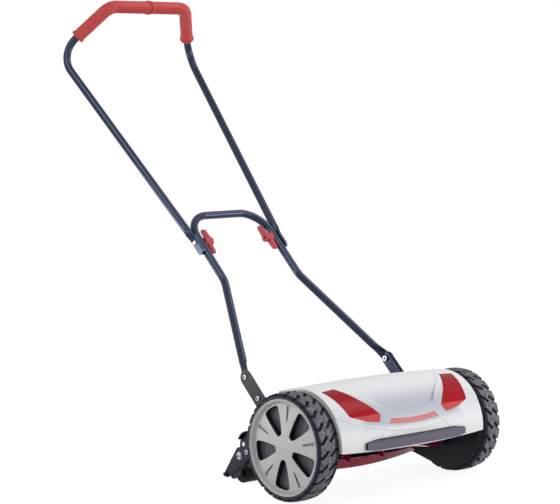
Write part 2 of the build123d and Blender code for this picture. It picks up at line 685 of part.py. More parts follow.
def recess_block(grow=0.0):
    """The block that the recess is sunk with: straight above its rim, sloping in below it."""
    with BuildSketch(mode=Mode.PRIVATE) as rim:
        add(mirrored_outline(RECESS_RIM))
        if grow:
            offset(amount=grow, kind=Kind.INTERSECTION)
    with BuildSketch(mode=Mode.PRIVATE) as foot:
        add(mirrored_outline(RECESS_FOOT))
        if grow:
            offset(amount=grow, kind=Kind.INTERSECTION)
    with BuildPart(mode=Mode.PRIVATE) as block:
        with BuildSketch(HOOD_FACE.offset(RECESS_RIM_HEIGHT)):
            add(rim.sketch)
        with BuildSketch(HOOD_FACE.offset(RECESS_FOOT_HEIGHT)):
            add(foot.sketch)
        loft(ruled=True)
        with BuildSketch(HOOD_FACE.offset(RECESS_RIM_HEIGHT)):
            add(rim.sketch)
        extrude(amount=40)
    return block.part


RECESS_SHIFT = RECESS_DEPTH + PANEL_RISE + 0.2  # lets the floor run out at the top of the hood
recess_cut = recess_block()
raised = Location((0, 0, RECESS_SHIFT))
recess_floor = hood_block(-RECESS_DEPTH).moved(raised)
recess_under = hood_block(-RECESS_DEPTH - HOOD_WALL, 12.0, HOOD_HALF + 1).moved(raised)
recess_walls = recess_block(HOOD_WALL * 1.3) - recess_under

strip_outline = arc_band(-50.5, -40.8, 71.0, 60.0)
insert_floor = hood_block(PANEL_RISE + 0.4 - INSERT_DEPTH, 12.0, HOOD_HALF + 1)


def inlay(outline):
    """A moulded piece let into the hood's face, following its curve."""
    return (hood_block(PANEL_RISE + 0.4) & face_prism(outline)) - insert_floor


with BuildPart() as hood_insert:
    add(inlay(insert_outline.sketch))

with BuildPart() as hood_strip:
    add(inlay(strip_outline))

with BuildPart() as bumper:
    with BuildSketch(Plane(origin=at(0, 0, 0), x_dir=(1, 0, 0), z_dir=(0, -1, 0))):
        add(mirrored_outline(BUMPER_POINTS))
    extrude(amount=200)
    bumper_bow = turned(bumper_section(BUMPER_RADIUS, BUMPER_END_RADIUS))
    add(bumper_bow, mode=Mode.INTERSECT)
    add(hood_block(0.0, 24.0), mode=Mode.SUBTRACT)

with BuildPart() as hood_screws:
    for side in (-1, 1):
        for angle in HOOD_SCREW_ANGLES:
            y, rise = polar(HOOD_SCREW_CIRCLE, angle)
            outside = outboard(side, PLATE_OUTER_X, y, AXLE_Z + rise)
            reach = PLATE_THICKNESS + END_FLANGE_WALL + 2
            add(screw(outside, BED_SCREW_RADIUS, reach, SCREW_HEAD_RADIUS, SCREW_HEAD_HEIGHT))
save(hood_screws, "hood_screws")

with BuildPart() as hood_shell:
    add(hood_block(0.0))
    add(hood_block(PANEL_RISE) & face_prism(arc_band(CREASE_LOW, 160.0, 230.0, 230.0)))
    add(recess_cut - recess_floor, mode=Mode.SUBTRACT)
    add(hood_insert.part, mode=Mode.SUBTRACT)
    add(mirror(hood_insert.part, about=Plane.YZ, mode=Mode.PRIVATE), mode=Mode.SUBTRACT)
    add(hood_strip.part, mode=Mode.SUBTRACT)
    add(hood_block(-HOOD_WALL, 12.0, HOOD_HALF - END_FLANGE_WALL) - recess_walls, mode=Mode.SUBTRACT)
    add(hood_block(-HOOD_WALL - END_FLANGE_DEPTH, 12.0, HOOD_HALF + 1), mode=Mode.SUBTRACT)
    add(hood_screws.part, mode=Mode.SUBTRACT)
save(hood_shell, "hood_shell")
save_pair(hood_insert, "hood_insert")
save(hood_strip, "hood_strip")
save(bumper, "bumper")

# ---------------------------------------------------------------- reel and its drive
BLADE_ROOT_RADIUS = 43.0
BLADE_THICKNESS = 2.4
BLADE_LEAN = 24.0
BLADE_STATIONS = 9
REEL_PHASE = -31.5
SPIDER_X = (-165.0, -55.0, 55.0, 165.0)
SPIDER_THICKNESS = 3.0
SPIDER_HUB_RADIUS = 17.0
SPIDER_ARM_HALF = 7.0
SPIDER_LAG = 9.0  # the arms meet the blades' leaning roots, a little behind the cutting edges
SHAFT_END_X = 232.0
PINION_X = 211.0
PINION_WIDTH = 18.0
PINION_SEAT_RADIUS = 6.0
RATCHET_WIDTH = 7.0
RATCHET_TEETH = 6
PAWL_HALF_LENGTH = 7.7
PAWL_THICKNESS = 4.0
PAWL_WIDTH = 5.0


def blade_section(x, number):
    """Leaning blade section at x, turned about the reel axis by the blade's twist."""
    turn = 360 * number / BLADE_COUNT + BLADE_TWIST * x / REEL_LENGTH + REEL_PHASE
    lean = (REEL_RADIUS - BLADE_ROOT_RADIUS) * tan(radians(BLADE_LEAN))
    turned_plane = Plane(origin=at(x, REEL_Y, REEL_Z), x_dir=(0, *polar(1, turn)), z_dir=(1, 0, 0))
    with BuildSketch(turned_plane, mode=Mode.PRIVATE) as section:
        with BuildLine():
            Polyline(
                (BLADE_ROOT_RADIUS, -lean), (REEL_RADIUS, 0),
                (sqrt(REEL_RADIUS**2 - BLADE_THICKNESS**2), BLADE_THICKNESS),
                (BLADE_ROOT_RADIUS - 1, BLADE_THICKNESS - lean), close=True,
            )
        make_face()
    return section.sketch.faces()[0]


blades = []
for number in range(BLADE_COUNT):
    stations = [REEL_LENGTH * (step / (BLADE_STATIONS - 1) - 0.5) for step in range(BLADE_STATIONS)]
    with BuildPart() as blade:
        loft([blade_section(x, number) for x in stations])
    save(blade, f"reel_blade_{number + 1}")
    blades.append(blade.part)

with BuildSketch(mode=Mode.PRIVATE) as spider_arm:
    with BuildLine():
        Polyline(
            (0, -SPIDER_ARM_HALF - 3), (BLADE_ROOT_RADIUS + 5, -SPIDER_ARM_HALF),
            (BLADE_ROOT_RADIUS + 5, SPIDER_ARM_HALF), (0, SPIDER_ARM_HALF + 3), close=True,
        )
    make_face()

for number, x in enumerate(SPIDER_X):
    arm_turn = BLADE_TWIST * x / REEL_LENGTH - SPIDER_LAG + REEL_PHASE
    with BuildPart() as spider:
        with BuildSketch(across(x - SPIDER_THICKNESS / 2, REEL_Y, REEL_Z)):
            with PolarLocations(0, BLADE_COUNT, start_angle=arm_turn):
                add(spider_arm.sketch)
            Circle(SPIDER_HUB_RADIUS)
            Circle(SHAFT_RADIUS, mode=Mode.SUBTRACT)
        extrude(amount=SPIDER_THICKNESS)
        for blade_part in blades:
            add(blade_part, mode=Mode.SUBTRACT)
        beyond_blades = spider.solids().sort_by(SortBy.VOLUME)[:-1]
        if beyond_blades:
            add(beyond_blades, mode=Mode.SUBTRACT)
    save(spider, f"reel_spider_{number + 1}")

with BuildPart() as reel_shaft:
    with BuildSketch(across(1 - PINION_X, REEL_Y, REEL_Z)):
        Circle(SHAFT_RADIUS)
    extrude(amount=2 * (PINION_X - 1))
    with BuildSketch(across(-SHAFT_END_X, REEL_Y, REEL_Z)):
        Circle(PINION_SEAT_RADIUS)
    extrude(amount=2 * SHAFT_END_X)
    for side in (-1, 1):
        with BuildSketch(across(side * (PINION_X + PINION_WIDTH / 2) - PAWL_WIDTH / 2, REEL_Y, REEL_Z)):
            Rectangle(4 * PINION_SEAT_RADIUS, PAWL_THICKNESS)
        extrude(amount=PAWL_WIDTH, mode=Mode.SUBTRACT)
save(reel_shaft, "reel_shaft")

with BuildPart() as drive_pawl:
    with BuildSketch(across(PINION_X + (PINION_WIDTH - PAWL_WIDTH) / 2, REEL_Y, REEL_Z)):
        Rectangle(2 * PAWL_HALF_LENGTH, PAWL_THICKNESS)
    extrude(amount=PAWL_WIDTH)
both_sides(drive_pawl, "drive_pawls")

pinion_teeth = gear_outline(
    PINION_TEETH, PINION_TEETH + 1.8, PINION_TEETH - 2.4, pi * GEAR_MODULE / 2 - BACKLASH, 4, -REEL_DROP_ANGLE
)
with BuildPart() as pinion:
    with BuildSketch(across(PINION_X, REEL_Y, REEL_Z)):
        add(pinion_teeth)
        Circle(PINION_SEAT_RADIUS + RUN, mode=Mode.SUBTRACT)
    extrude(amount=PINION_WIDTH)
    with BuildSketch(across(PINION_X + (PINION_WIDTH - RATCHET_WIDTH) / 2, REEL_Y, REEL_Z)):
        with BuildLine():
            ramps = []
            for tooth in range(RATCHET_TEETH):
                ramps.append(polar(9.0, 360 * tooth / RATCHET_TEETH + 28))
                ramps.append(polar(10.4, 360 * (tooth + 1) / RATCHET_TEETH + 27))
            Polyline(*ramps, close=True)
        make_face()
    extrude(amount=RATCHET_WIDTH, mode=Mode.SUBTRACT)
save_pair(pinion, "pinion")

# ---------------------------------------------------------------- rear roller on its height adjuster
ARM_INNER_X = 202.6
ARM_THICKNESS = 6.0
ARM_OUTER_X = ARM_INNER_X + ARM_THICKNESS
ARM_BACK_THICKNESS = 3.8  # wide inner web; the raised rib on it is narrower
ARM_BOSS_RADIUS = 14.0
ARM_HEEL = (180.6, 75.7)
ARM_TOE = (212.7, 18.2)
ARM_TOE_RADIUS = 5.8
AXLE_BOSS_RADIUS = 9.0
AXLE_SEAT_X = 205.6
ROLLER_AXLE_RADIUS = 4.0
ROLLER_WALL = 4.0
PLUG_LENGTH = 12.0
PEG_SPOT = (212.0, 18.5)
PEG_RADIUS = 4.0
PEG_LENGTH = 6.0
BOSS_RISE = 1.5
BOLT_HEAD_RADIUS = 5.0
BOLT_HEAD_HEIGHT = 3.4
WASHER_RADIUS = 7.4
WASHER_THICKNESS = 1.2
SOCKET_RADIUS = 2.3
SOCKET_DEPTH = 2.2
NUT_HEIGHT = 5.0
LOCK_SPOT = (
    PIVOT_Y + INDEX_RADIUS * cos(radians(INDEX_START)),
    PIVOT_Z + INDEX_RADIUS * sin(radians(INDEX_START)),
)

with BuildPart() as roller_arm:
    with BuildSketch(across(ARM_INNER_X)):
        with BuildLine():
            Polyline(
                (PIVOT_Y + 2, PIVOT_Z + 13), (ARM_HEEL[0] - 2, ARM_HEEL[1] - 1), (206.5, 25.0),
                (186.5, 14.5), (165.0, 42.0), (PIVOT_Y - 8, PIVOT_Z - 11), close=True,
            )
        make_face()
        with Locations((PIVOT_Y, PIVOT_Z)):
            Circle(ARM_BOSS_RADIUS)
        with Locations((ROLLER_Y, ROLLER_RADIUS)):
            Circle(AXLE_BOSS_RADIUS)
    extrude(amount=ARM_BACK_THICKNESS)
    with BuildSketch(across(ARM_INNER_X + ARM_BACK_THICKNESS)):
        with BuildLine():
            Polyline(
                (PIVOT_Y + 2, PIVOT_Z + 13), ARM_HEEL, (ARM_TOE[0] + 5.1, ARM_TOE[1] + 2.8), ARM_TOE,
                (ARM_TOE[0], ARM_TOE[1] - ARM_TOE_RADIUS), (206.1, 12.7), (146.7, 57.6), close=True,
            )
        make_face()
        with Locations((PIVOT_Y, PIVOT_Z)):
            Circle(ARM_BOSS_RADIUS)
        with Locations(ARM_TOE):
            Circle(ARM_TOE_RADIUS)
    extrude(amount=ARM_THICKNESS - ARM_BACK_THICKNESS)
    with BuildSketch(across(ARM_OUTER_X, PIVOT_Y, PIVOT_Z)):
        Circle(ARM_BOSS_RADIUS - 1)
    extrude(amount=BOSS_RISE)
    with BuildSketch(across(ARM_INNER_X - 1)):
        with Locations((PIVOT_Y, PIVOT_Z)):
            Circle(PIVOT_BOLT_RADIUS)
        with Locations(LOCK_SPOT):
            Circle(FRAME_BOLT_RADIUS)
    extrude(amount=ARM_THICKNESS + 4, mode=Mode.SUBTRACT)
    with BuildSketch(across(ARM_INNER_X - 1)):
        with Locations((ROLLER_Y, ROLLER_RADIUS)):
            Circle(ROLLER_AXLE_RADIUS)
    extrude(amount=AXLE_SEAT_X - ARM_INNER_X + 1, mode=Mode.SUBTRACT)
    with BuildSketch(across(ARM_OUTER_X)):
        with Locations(PEG_SPOT):
            Circle(PEG_RADIUS)
    extrude(amount=PEG_LENGTH)
    chamfer(roller_arm.faces().sort_by(Axis.X)[-1].edges(), 0.8)
save_pair(roller_arm, "roller_arm")

with BuildPart() as roller_axle:
    with BuildSketch(across(-AXLE_SEAT_X, ROLLER_Y, ROLLER_RADIUS)):
        Circle(ROLLER_AXLE_RADIUS)
    extrude(amount=2 * AXLE_SEAT_X)
save(roller_axle, "roller_axle")

with BuildPart() as roller_drum:
    with BuildSketch(across(-ROLLER_HALF, ROLLER_Y, ROLLER_RADIUS)):
        Circle(ROLLER_RADIUS)
        Circle(ROLLER_RADIUS - ROLLER_WALL, mode=Mode.SUBTRACT)
    extrude(amount=2 * ROLLER_HALF)
    fillet(roller_drum.edges().filter_by(GeomType.CIRCLE).group_by(SortBy.RADIUS)[-1], 2.5)
save(roller_drum, "roller_drum")

with BuildPart() as roller_plug:
    with BuildSketch(across(ROLLER_HALF - PLUG_LENGTH, ROLLER_Y, ROLLER_RADIUS)):
        Circle(ROLLER_RADIUS - ROLLER_WALL)
        Circle(ROLLER_AXLE_RADIUS + RUN, mode=Mode.SUBTRACT)
    extrude(amount=PLUG_LENGTH)
    with BuildSketch(across(ROLLER_HALF, ROLLER_Y, ROLLER_RADIUS)):
        Circle(ROLLER_AXLE_RADIUS + 4)
        Circle(ROLLER_AXLE_RADIUS + RUN, mode=Mode.SUBTRACT)
    extrude(amount=3)
both_sides(roller_plug, "roller_plugs")


def side_bolt(side, face_x, spot, shank_radius, nut_x):
    """A bolt through a side plate: round head outboard at face_x, hexagonal nut inboard from nut_x."""
    outside = outboard(side, face_x, *spot)
    inside = Plane(origin=at(side * nut_x, *spot), x_dir=(0, 1, 0), z_dir=(-side, 0, 0))
    with BuildPart(mode=Mode.PRIVATE) as bolt:
        add(screw(outside, shank_radius, face_x - nut_x + NUT_HEIGHT - 1, BOLT_HEAD_RADIUS, BOLT_HEAD_HEIGHT))
        with BuildSketch(inside):
            RegularPolygon(2 * shank_radius, 6)
        extrude(amount=NUT_HEIGHT)
    return bolt.part


with BuildPart() as pivot_bolts:
    for side in (-1, 1):
        add(side_bolt(side, ARM_OUTER_X + BOSS_RISE, (PIVOT_Y, PIVOT_Z), PIVOT_BOLT_RADIUS, PLATE_X))
save(pivot_bolts, "pivot_bolts")

with BuildPart() as height_bolts:
    for side in (-1, 1):
        under_head = ARM_OUTER_X + WASHER_THICKNESS
        add(side_bolt(side, under_head, LOCK_SPOT, FRAME_BOLT_RADIUS, PLATE_X - 0.1))
        on_arm = outboard(side, ARM_OUTER_X, *LOCK_SPOT)
        with BuildSketch(on_arm):
            Circle(WASHER_RADIUS)
        extrude(amount=WASHER_THICKNESS)
        with BuildSketch(on_arm.offset(WASHER_THICKNESS + BOLT_HEAD_HEIGHT - SOCKET_DEPTH)):
            RegularPolygon(SOCKET_RADIUS, 6)
        extrude(amount=SOCKET_DEPTH + 1, mode=Mode.SUBTRACT)
save(height_bolts, "height_bolts")

# ---------------------------------------------------------------- lower handle frame
CROSSBAR_ALONG = 649.0
LEG_HALF = 104.5
LEG_SPREAD = 193.5
LEG_BEND_ALONG = 472.0
LEG_FOOT_ALONG = 243.5
FLAT_START_ALONG = 268.0
FLAT_FULL_ALONG = 240.0
FLAT_END_ALONG = 162.0
FLAT_WIDTH = 24.0
FLAT_THICKNESS = 3.2
CLAMP_BOLT_RADIUS = 3.0


def handle_point(x, along):
    """A point of the lower handle's plane."""
    return HANDLE_PLANE.from_local_coords((x, along, 0))


def tube_ring(plane):
    """Cross-section of a handle tube."""
    with BuildSketch(plane, mode=Mode.PRIVATE) as ring:
        Circle(TUBE_RADIUS)
        Circle(TUBE_RADIUS - TUBE_WALL, mode=Mode.SUBTRACT)
    return ring.sketch


leg_slope = (LEG_SPREAD - LEG_HALF) / (LEG_BEND_ALONG - LEG_FOOT_ALONG)
flat_start_x = LEG_HALF + (LEG_BEND_ALONG - FLAT_START_ALONG) * leg_slope
flat_x = PLATE_X - FLAT_THICKNESS / 2
frame_points = [(flat_start_x, FLAT_START_ALONG), (LEG_HALF, LEG_BEND_ALONG), (LEG_HALF, CROSSBAR_ALONG)]
frame_points += [(-x, along) for x, along in reversed(frame_points)]
down_handle = handle_point(0, 0) - handle_point(0, 1)

with BuildPart() as handle_frame:
    with BuildLine() as frame_path:
        FilletPolyline(*[handle_point(x, along) for x, along in frame_points], radius=[60, 58, 58, 60])
    start = frame_path.line @ 0
    heading = frame_path.line % 0
    sweep(sections=tube_ring(Plane(origin=start, z_dir=heading)), path=frame_path.line)
    for side in (-1, 1):
        foot = handle_point(side * flat_start_x, FLAT_START_ALONG)
        out_of_tube = foot - handle_point(side * LEG_HALF, LEG_BEND_ALONG)
        flat_plane = Plane(
            origin=handle_point(side * flat_x, FLAT_FULL_ALONG), x_dir=HANDLE_PLANE.z_dir, z_dir=down_handle
        )
        with BuildSketch(Plane(origin=foot, x_dir=HANDLE_PLANE.z_dir, z_dir=out_of_tube)):
            Circle(TUBE_RADIUS)
        with BuildSketch(flat_plane):
            SlotOverall(FLAT_WIDTH, FLAT_THICKNESS)
        loft()
        with BuildSketch(flat_plane):
            SlotOverall(FLAT_WIDTH, FLAT_THICKNESS)
        extrude(amount=FLAT_FULL_ALONG - FLAT_END_ALONG)
    with BuildSketch(across(-PLATE_OUTER_X)):
        with Locations(*[up_handle(bolt) for bolt in FRAME_BOLTS]):
            Circle(FRAME_BOLT_RADIUS)
    extrude(amount=2 * PLATE_OUTER_X, mode=Mode.SUBTRACT)
    with BuildSketch(across(-LEG_HALF - 2 * TUBE_RADIUS)):
        with Locations(up_handle(CLAMP_ALONG)):
            Circle(CLAMP_BOLT_RADIUS + RUN)
    extrude(amount=2 * (LEG_HALF + 2 * TUBE_RADIUS), mode=Mode.SUBTRACT)
save(handle_frame, "handle_frame")

with BuildPart() as frame_bolts:
    for side in (-1, 1):
        for bolt in FRAME_BOLTS:
            add(side_bolt(side, PLATE_OUTER_X, up_handle(bolt), FRAME_BOLT_RADIUS, PLATE_X - FLAT_THICKNESS))
save(frame_bolts, "frame_bolts")

# ---------------------------------------------------------------- folding upper handle
UPPER_TILT = 46.0
UPPER_HALF = LEG_HALF + 2 * TUBE_RADIUS + 0.5
UPPER_TAIL = 30.0
UPPER_BEND = 30.0
UPPER_ROUND_FROM = 22.0  # below this the tube is pressed flat for the clamp bolt
UPPER_FLAT_FROM = 5.0
UPPER_FLAT_WIDTH = 20.0
UPPER_FLAT_THICKNESS = 6.6
UPPER_FLAT_X = UPPER_HALF - TUBE_RADIUS + UPPER_FLAT_THICKNESS / 2
SHOULDER_HALF = 183.5
SHOULDER_ALONG = 542.0
BAR_HALF = 106.0
BAR_ALONG = 559.0
BAR_RISE = 129.7
SHOULDER_BEND = 54.0
BAR_BEND = 32.0
GRIP_RADIUS = 13.8
GRIP_START = 0.36  # share of the arm, from the shoulder to the bar, that stays bare
GRIP_GAP = 1.6
COLLAR_RADIUS = 16.5
COLLAR_WIDTH = 5.0

clamp_y, clamp_z = up_handle(CLAMP_ALONG)
UPPER_PLANE = Plane(
    origin=at(0, clamp_y, clamp_z),
    x_dir=(1, 0, 0),
    z_dir=(0, -sin(radians(UPPER_TILT)), cos(radians(UPPER_TILT))),
)


def upper_point(x, along, rise=0.0):
    """A point of the upper handle: across, up its legs from the fold axis, and out of their plane."""
    return UPPER_PLANE.from_local_coords((x, along, rise))


def along_arm(share, side=1):
    """A point of the grip arm between the shoulder corner and the bar corner."""
    return upper_point(
        side * (SHOULDER_HALF + (BAR_HALF - SHOULDER_HALF) * share),
        SHOULDER_ALONG + (BAR_ALONG - SHOULDER_ALONG) * share,
        BAR_RISE * share,
    )


right_points = [
    upper_point(UPPER_HALF, UPPER_ROUND_FROM), upper_point(UPPER_HALF, UPPER_BEND),
    along_arm(0), along_arm(1),
]
left_points = [
    along_arm(1, -1), along_arm(0, -1),
    upper_point(-UPPER_HALF, UPPER_BEND), upper_point(-UPPER_HALF, UPPER_ROUND_FROM),
]

with BuildPart() as upper_tube:
    with BuildLine() as upper_path:
        FilletPolyline(
            *right_points, *left_points, radius=[80, SHOULDER_BEND, BAR_BEND, BAR_BEND, SHOULDER_BEND, 80],
        )
    start_plane = Plane(origin=upper_path.line @ 0, z_dir=upper_path.line % 0)
    sweep(sections=tube_ring(start_plane), path=upper_path.line)
    for side in (-1, 1):
        round_end, flat_end = [
            Plane(origin=upper_point(side * x, along), x_dir=UPPER_PLANE.z_dir, z_dir=-UPPER_PLANE.y_dir)
            for x, along in ((UPPER_HALF, UPPER_ROUND_FROM), (UPPER_FLAT_X, UPPER_FLAT_FROM))
        ]
        with BuildSketch(round_end):
            Circle(TUBE_RADIUS)
        with BuildSketch(flat_end):
            SlotOverall(UPPER_FLAT_WIDTH, UPPER_FLAT_THICKNESS)
        loft()
        with BuildSketch(flat_end):
            SlotOverall(UPPER_FLAT_WIDTH, UPPER_FLAT_THICKNESS)
        extrude(amount=UPPER_FLAT_FROM + UPPER_TAIL)
    beside_clamp = Plane(
        origin=at(-UPPER_HALF - 2 * TUBE_RADIUS, clamp_y, clamp_z), x_dir=UPPER_PLANE.y_dir, z_dir=(1, 0, 0)
    )
    with BuildSketch(beside_clamp):
        Circle(CLAMP_BOLT_RADIUS + RUN)
        with Locations((UPPER_FLAT_WIDTH / 2 - UPPER_TAIL, 0)):
            Rectangle(UPPER_FLAT_WIDTH, UPPER_FLAT_WIDTH + 2, align=(Align.MAX, Align.CENTER))
            Circle(UPPER_FLAT_WIDTH / 2 + 0.4, mode=Mode.SUBTRACT)
    extrude(amount=2 * (UPPER_HALF + 2 * TUBE_RADIUS), mode=Mode.SUBTRACT)
save(upper_tube, "upper_tube")

with BuildPart() as grip:
    with BuildLine() as grip_path:
        bar_end = upper_point(GRIP_GAP, BAR_ALONG, BAR_RISE)
        FilletPolyline(along_arm(GRIP_START), along_arm(1), bar_end, radius=BAR_BEND)
    grip_start = Plane(origin=grip_path.line @ 0, z_dir=grip_path.line % 0)
    grip_end = Plane(origin=grip_path.line @ 1, z_dir=grip_path.line % 1)
    with BuildSketch(grip_start):
        Circle(GRIP_RADIUS)
        Circle(TUBE_RADIUS, mode=Mode.SUBTRACT)
    sweep(path=grip_path.line)
    with BuildSketch(grip_start):
        Circle(COLLAR_RADIUS)
        Circle(TUBE_RADIUS, mode=Mode.SUBTRACT)
    extrude(amount=COLLAR_WIDTH)
    with BuildSketch(grip_end):
        Circle(COLLAR_RADIUS)
        Circle(TUBE_RADIUS, mode=Mode.SUBTRACT)
    extrude(amount=-COLLAR_WIDTH)
save_pair(grip, "grip")

KNOB_INNER_X = 76.0
KNOB_FACE_X = LEG_HALF - TUBE_RADIUS - 0.4
KNOB_HUB_RADIUS = 9.5
WING_REACH = 32.0
WING_THICKNESS = 8.0
WING_ROOT = 13.0
WING_TIP = 9.2
LOW_WING_X = 83.0  # the lower wing stands nearer the tube than the upper one
BOLT_END_X = 80.0

with BuildPart() as clamp_bolt:
    head_x = UPPER_FLAT_X + UPPER_FLAT_THICKNESS / 2
    under_head = across(head_x, clamp_y, clamp_z)
    add(screw(under_head, CLAMP_BOLT_RADIUS, head_x - BOLT_END_X, BOLT_HEAD_RADIUS, BOLT_HEAD_HEIGHT))
both_sides(clamp_bolt, "clamp_bolts")

with BuildSketch(mode=Mode.PRIVATE) as wing_outline:
    with BuildLine():
        tip_x = WING_REACH - WING_TIP / 2
        Polyline(
            (0, -WING_ROOT / 2), (tip_x, -WING_TIP / 2),
            (tip_x, WING_TIP / 2), (0, WING_ROOT / 2), close=True,
        )
    make_face()
    with Locations((tip_x, 0)):
        Circle(WING_TIP / 2)

with BuildPart() as clamp_knob:
    for x, way in ((KNOB_INNER_X, 1), (LOW_WING_X, -1)):
        with BuildSketch(Plane(origin=at(x, clamp_y, clamp_z), x_dir=(0, way, way), z_dir=(1, 0, 0))):
            add(wing_outline.sketch)
        extrude(amount=WING_THICKNESS)
    with BuildSketch(across(KNOB_INNER_X, clamp_y, clamp_z)):
        Circle(KNOB_HUB_RADIUS)
    extrude(amount=KNOB_FACE_X - KNOB_INNER_X)
    with BuildSketch(across(KNOB_INNER_X, clamp_y, clamp_z)):
        Circle(CLAMP_BOLT_RADIUS + RUN)
    extrude(amount=KNOB_FACE_X - KNOB_INNER_X, mode=Mode.SUBTRACT)
save_pair(clamp_knob, "clamp_knob")
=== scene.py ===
# %% [markdown]
# # A push reel mower
# The mower's rigid parts come from the solid model: wheels with a toothed ring inside, a twisted-blade
# reel under a moulded hood, a rear roller and a folding tubular handle. This lesson loads them as a fixed
# frame, gives every part the finish of the real one, and adds the fine pieces that a solid model leaves
# out. Everything is in metres. X runs across the machine, +Y points back to the user, +Z is up.

# %% Load the frame
import json
from math import cos, radians, sin, sqrt

import bpy
from mathutils import Matrix, Vector

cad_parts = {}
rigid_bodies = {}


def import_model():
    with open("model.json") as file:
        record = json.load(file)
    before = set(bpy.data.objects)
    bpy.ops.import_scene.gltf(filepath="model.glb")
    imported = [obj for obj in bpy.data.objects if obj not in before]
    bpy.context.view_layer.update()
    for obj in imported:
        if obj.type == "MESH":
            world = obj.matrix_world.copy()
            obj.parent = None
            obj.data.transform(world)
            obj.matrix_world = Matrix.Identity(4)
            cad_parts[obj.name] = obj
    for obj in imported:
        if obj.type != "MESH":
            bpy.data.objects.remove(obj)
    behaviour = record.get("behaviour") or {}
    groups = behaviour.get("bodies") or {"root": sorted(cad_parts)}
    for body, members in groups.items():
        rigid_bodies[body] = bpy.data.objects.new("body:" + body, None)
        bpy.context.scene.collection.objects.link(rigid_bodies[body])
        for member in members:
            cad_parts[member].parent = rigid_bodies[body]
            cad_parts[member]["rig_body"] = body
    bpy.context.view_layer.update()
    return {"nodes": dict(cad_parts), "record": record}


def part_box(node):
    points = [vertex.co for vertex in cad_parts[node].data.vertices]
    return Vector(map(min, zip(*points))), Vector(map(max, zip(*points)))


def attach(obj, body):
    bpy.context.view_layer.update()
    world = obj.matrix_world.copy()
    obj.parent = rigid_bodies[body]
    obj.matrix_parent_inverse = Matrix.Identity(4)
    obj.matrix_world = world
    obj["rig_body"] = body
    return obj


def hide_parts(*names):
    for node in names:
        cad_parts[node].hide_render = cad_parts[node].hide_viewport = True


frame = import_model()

scene = bpy.context.scene
nodes = frame["nodes"]
subparts = frame["record"]["subparts"]
joint_at = {joint["name"]: Vector(joint["pos_m"]) for joint in frame["record"]["behaviour"]["joints"]}

# %% [markdown]
# ## The camera
# The picture is taken from the front right, a little above the hood, through a long lens. A long lens
# stands far back, so the handle's far leg is nearly as large as its near leg.

# %% Place the camera
CAMERA_ACROSS = -2.892
CAMERA_AHEAD_OF_AXLE = 2.823
CAMERA_HEIGHT = 0.819
HEADING = -42.99
LOOK_DOWN = 5.04
SENSOR_MM = 36
LENS_MM = 132.6
FARTHEST_SEEN = 100

wheel_axle = joint_at["left_wheel_spin"]
bpy.ops.object.camera_add(
    location=(CAMERA_ACROSS, wheel_axle.y - CAMERA_AHEAD_OF_AXLE, CAMERA_HEIGHT),
    rotation=(radians(90 - LOOK_DOWN), 0, radians(HEADING)),
)
camera = bpy.context.object
camera.data.sensor_width = SENSOR_MM
camera.data.lens = LENS_MM
camera.data.clip_end = FARTHEST_SEEN
scene.camera = camera
scene.view_settings.view_transform = "Standard"
print("camera at", tuple(round(v, 3) for v in camera.location))

# %% [markdown]
# ## Colours and nodes
# A material or a world is a tree of nodes. Two small helpers build every tree here: one turns a colour
# written as hex into the linear values that shaders work in, and one adds a node and wires it up.


# %% Helpers for every node tree
def linear(code):
    """A colour written as sRGB hex, such as C4C6CC, as the linear values that shaders use."""
    parts = [int(code[i:i + 2], 16) / 255 for i in (0, 2, 4)]
    return tuple(p / 12.92 if p <= 0.04045 else ((p + 0.055) / 1.055) ** 2.4 for p in parts) + (1.0,)


def add_node(tree, kind, settings=None, **inputs):
    """Add a node, set its properties, and fill or link its inputs by name or number."""
    node = tree.nodes.new(kind)
    for name, value in (settings or {}).items():
        setattr(node, name, value)
    for name, value in inputs.items():
        key = int(name[1:]) if name[0] == "i" and name[1:].isdigit() else name.replace("_", " ")
        if isinstance(value, bpy.types.NodeSocket):
            tree.links.new(value, node.inputs[key])
        else:
            node.inputs[key].default_value = value
    return node


print("hex 808080 is", round(linear("808080")[0], 3), "in linear light")

# %% [markdown]
# ## Studio
# A wide white floor under a white world fills the picture from every side. The world's light on the mower is
# only half as strong as the white that the camera sees, so the lamps still shape the forms.

# %% White world
WHITE = (1, 1, 1, 1)
WORLD_LIGHT = 0.5


def seen(tree):
    """1 for rays that show the backdrop, straight or in gloss and glass, and 0 for light that bounces."""
    path = add_node(tree, "ShaderNodeLightPath")
    larger = {"operation": "MAXIMUM"}
    shown = path.outputs["Is Camera Ray"]
    for ray in ("Is Glossy Ray", "Is Transmission Ray"):
        shown = add_node(tree, "ShaderNodeMath", larger, i0=shown, i1=path.outputs[ray]).outputs[0]
    return shown


world = bpy.data.worlds.new("studio")
scene.world = world
world.use_nodes = True
tree = world.node_tree
tree.nodes.clear()
dim = add_node(tree, "ShaderNodeBackground", Color=linear("F4F6FA"), Strength=WORLD_LIGHT)
white = add_node(tree, "ShaderNodeBackground", Color=WHITE, Strength=1.0)
room = add_node(tree, "ShaderNodeMixShader", i0=seen(tree), i1=dim.outputs[0], i2=white.outputs[0])
add_node(tree, "ShaderNodeOutputWorld", Surface=room.outputs[0])
print("the world lights the mower at", WORLD_LIGHT, "of the white that the camera sees")

# %% White floor
# The floor is matt white. To the camera it also shines, so it stays white and keeps a faint shadow.
FLOOR_SIZE = 60
FLOOR_GLOW = 0.88

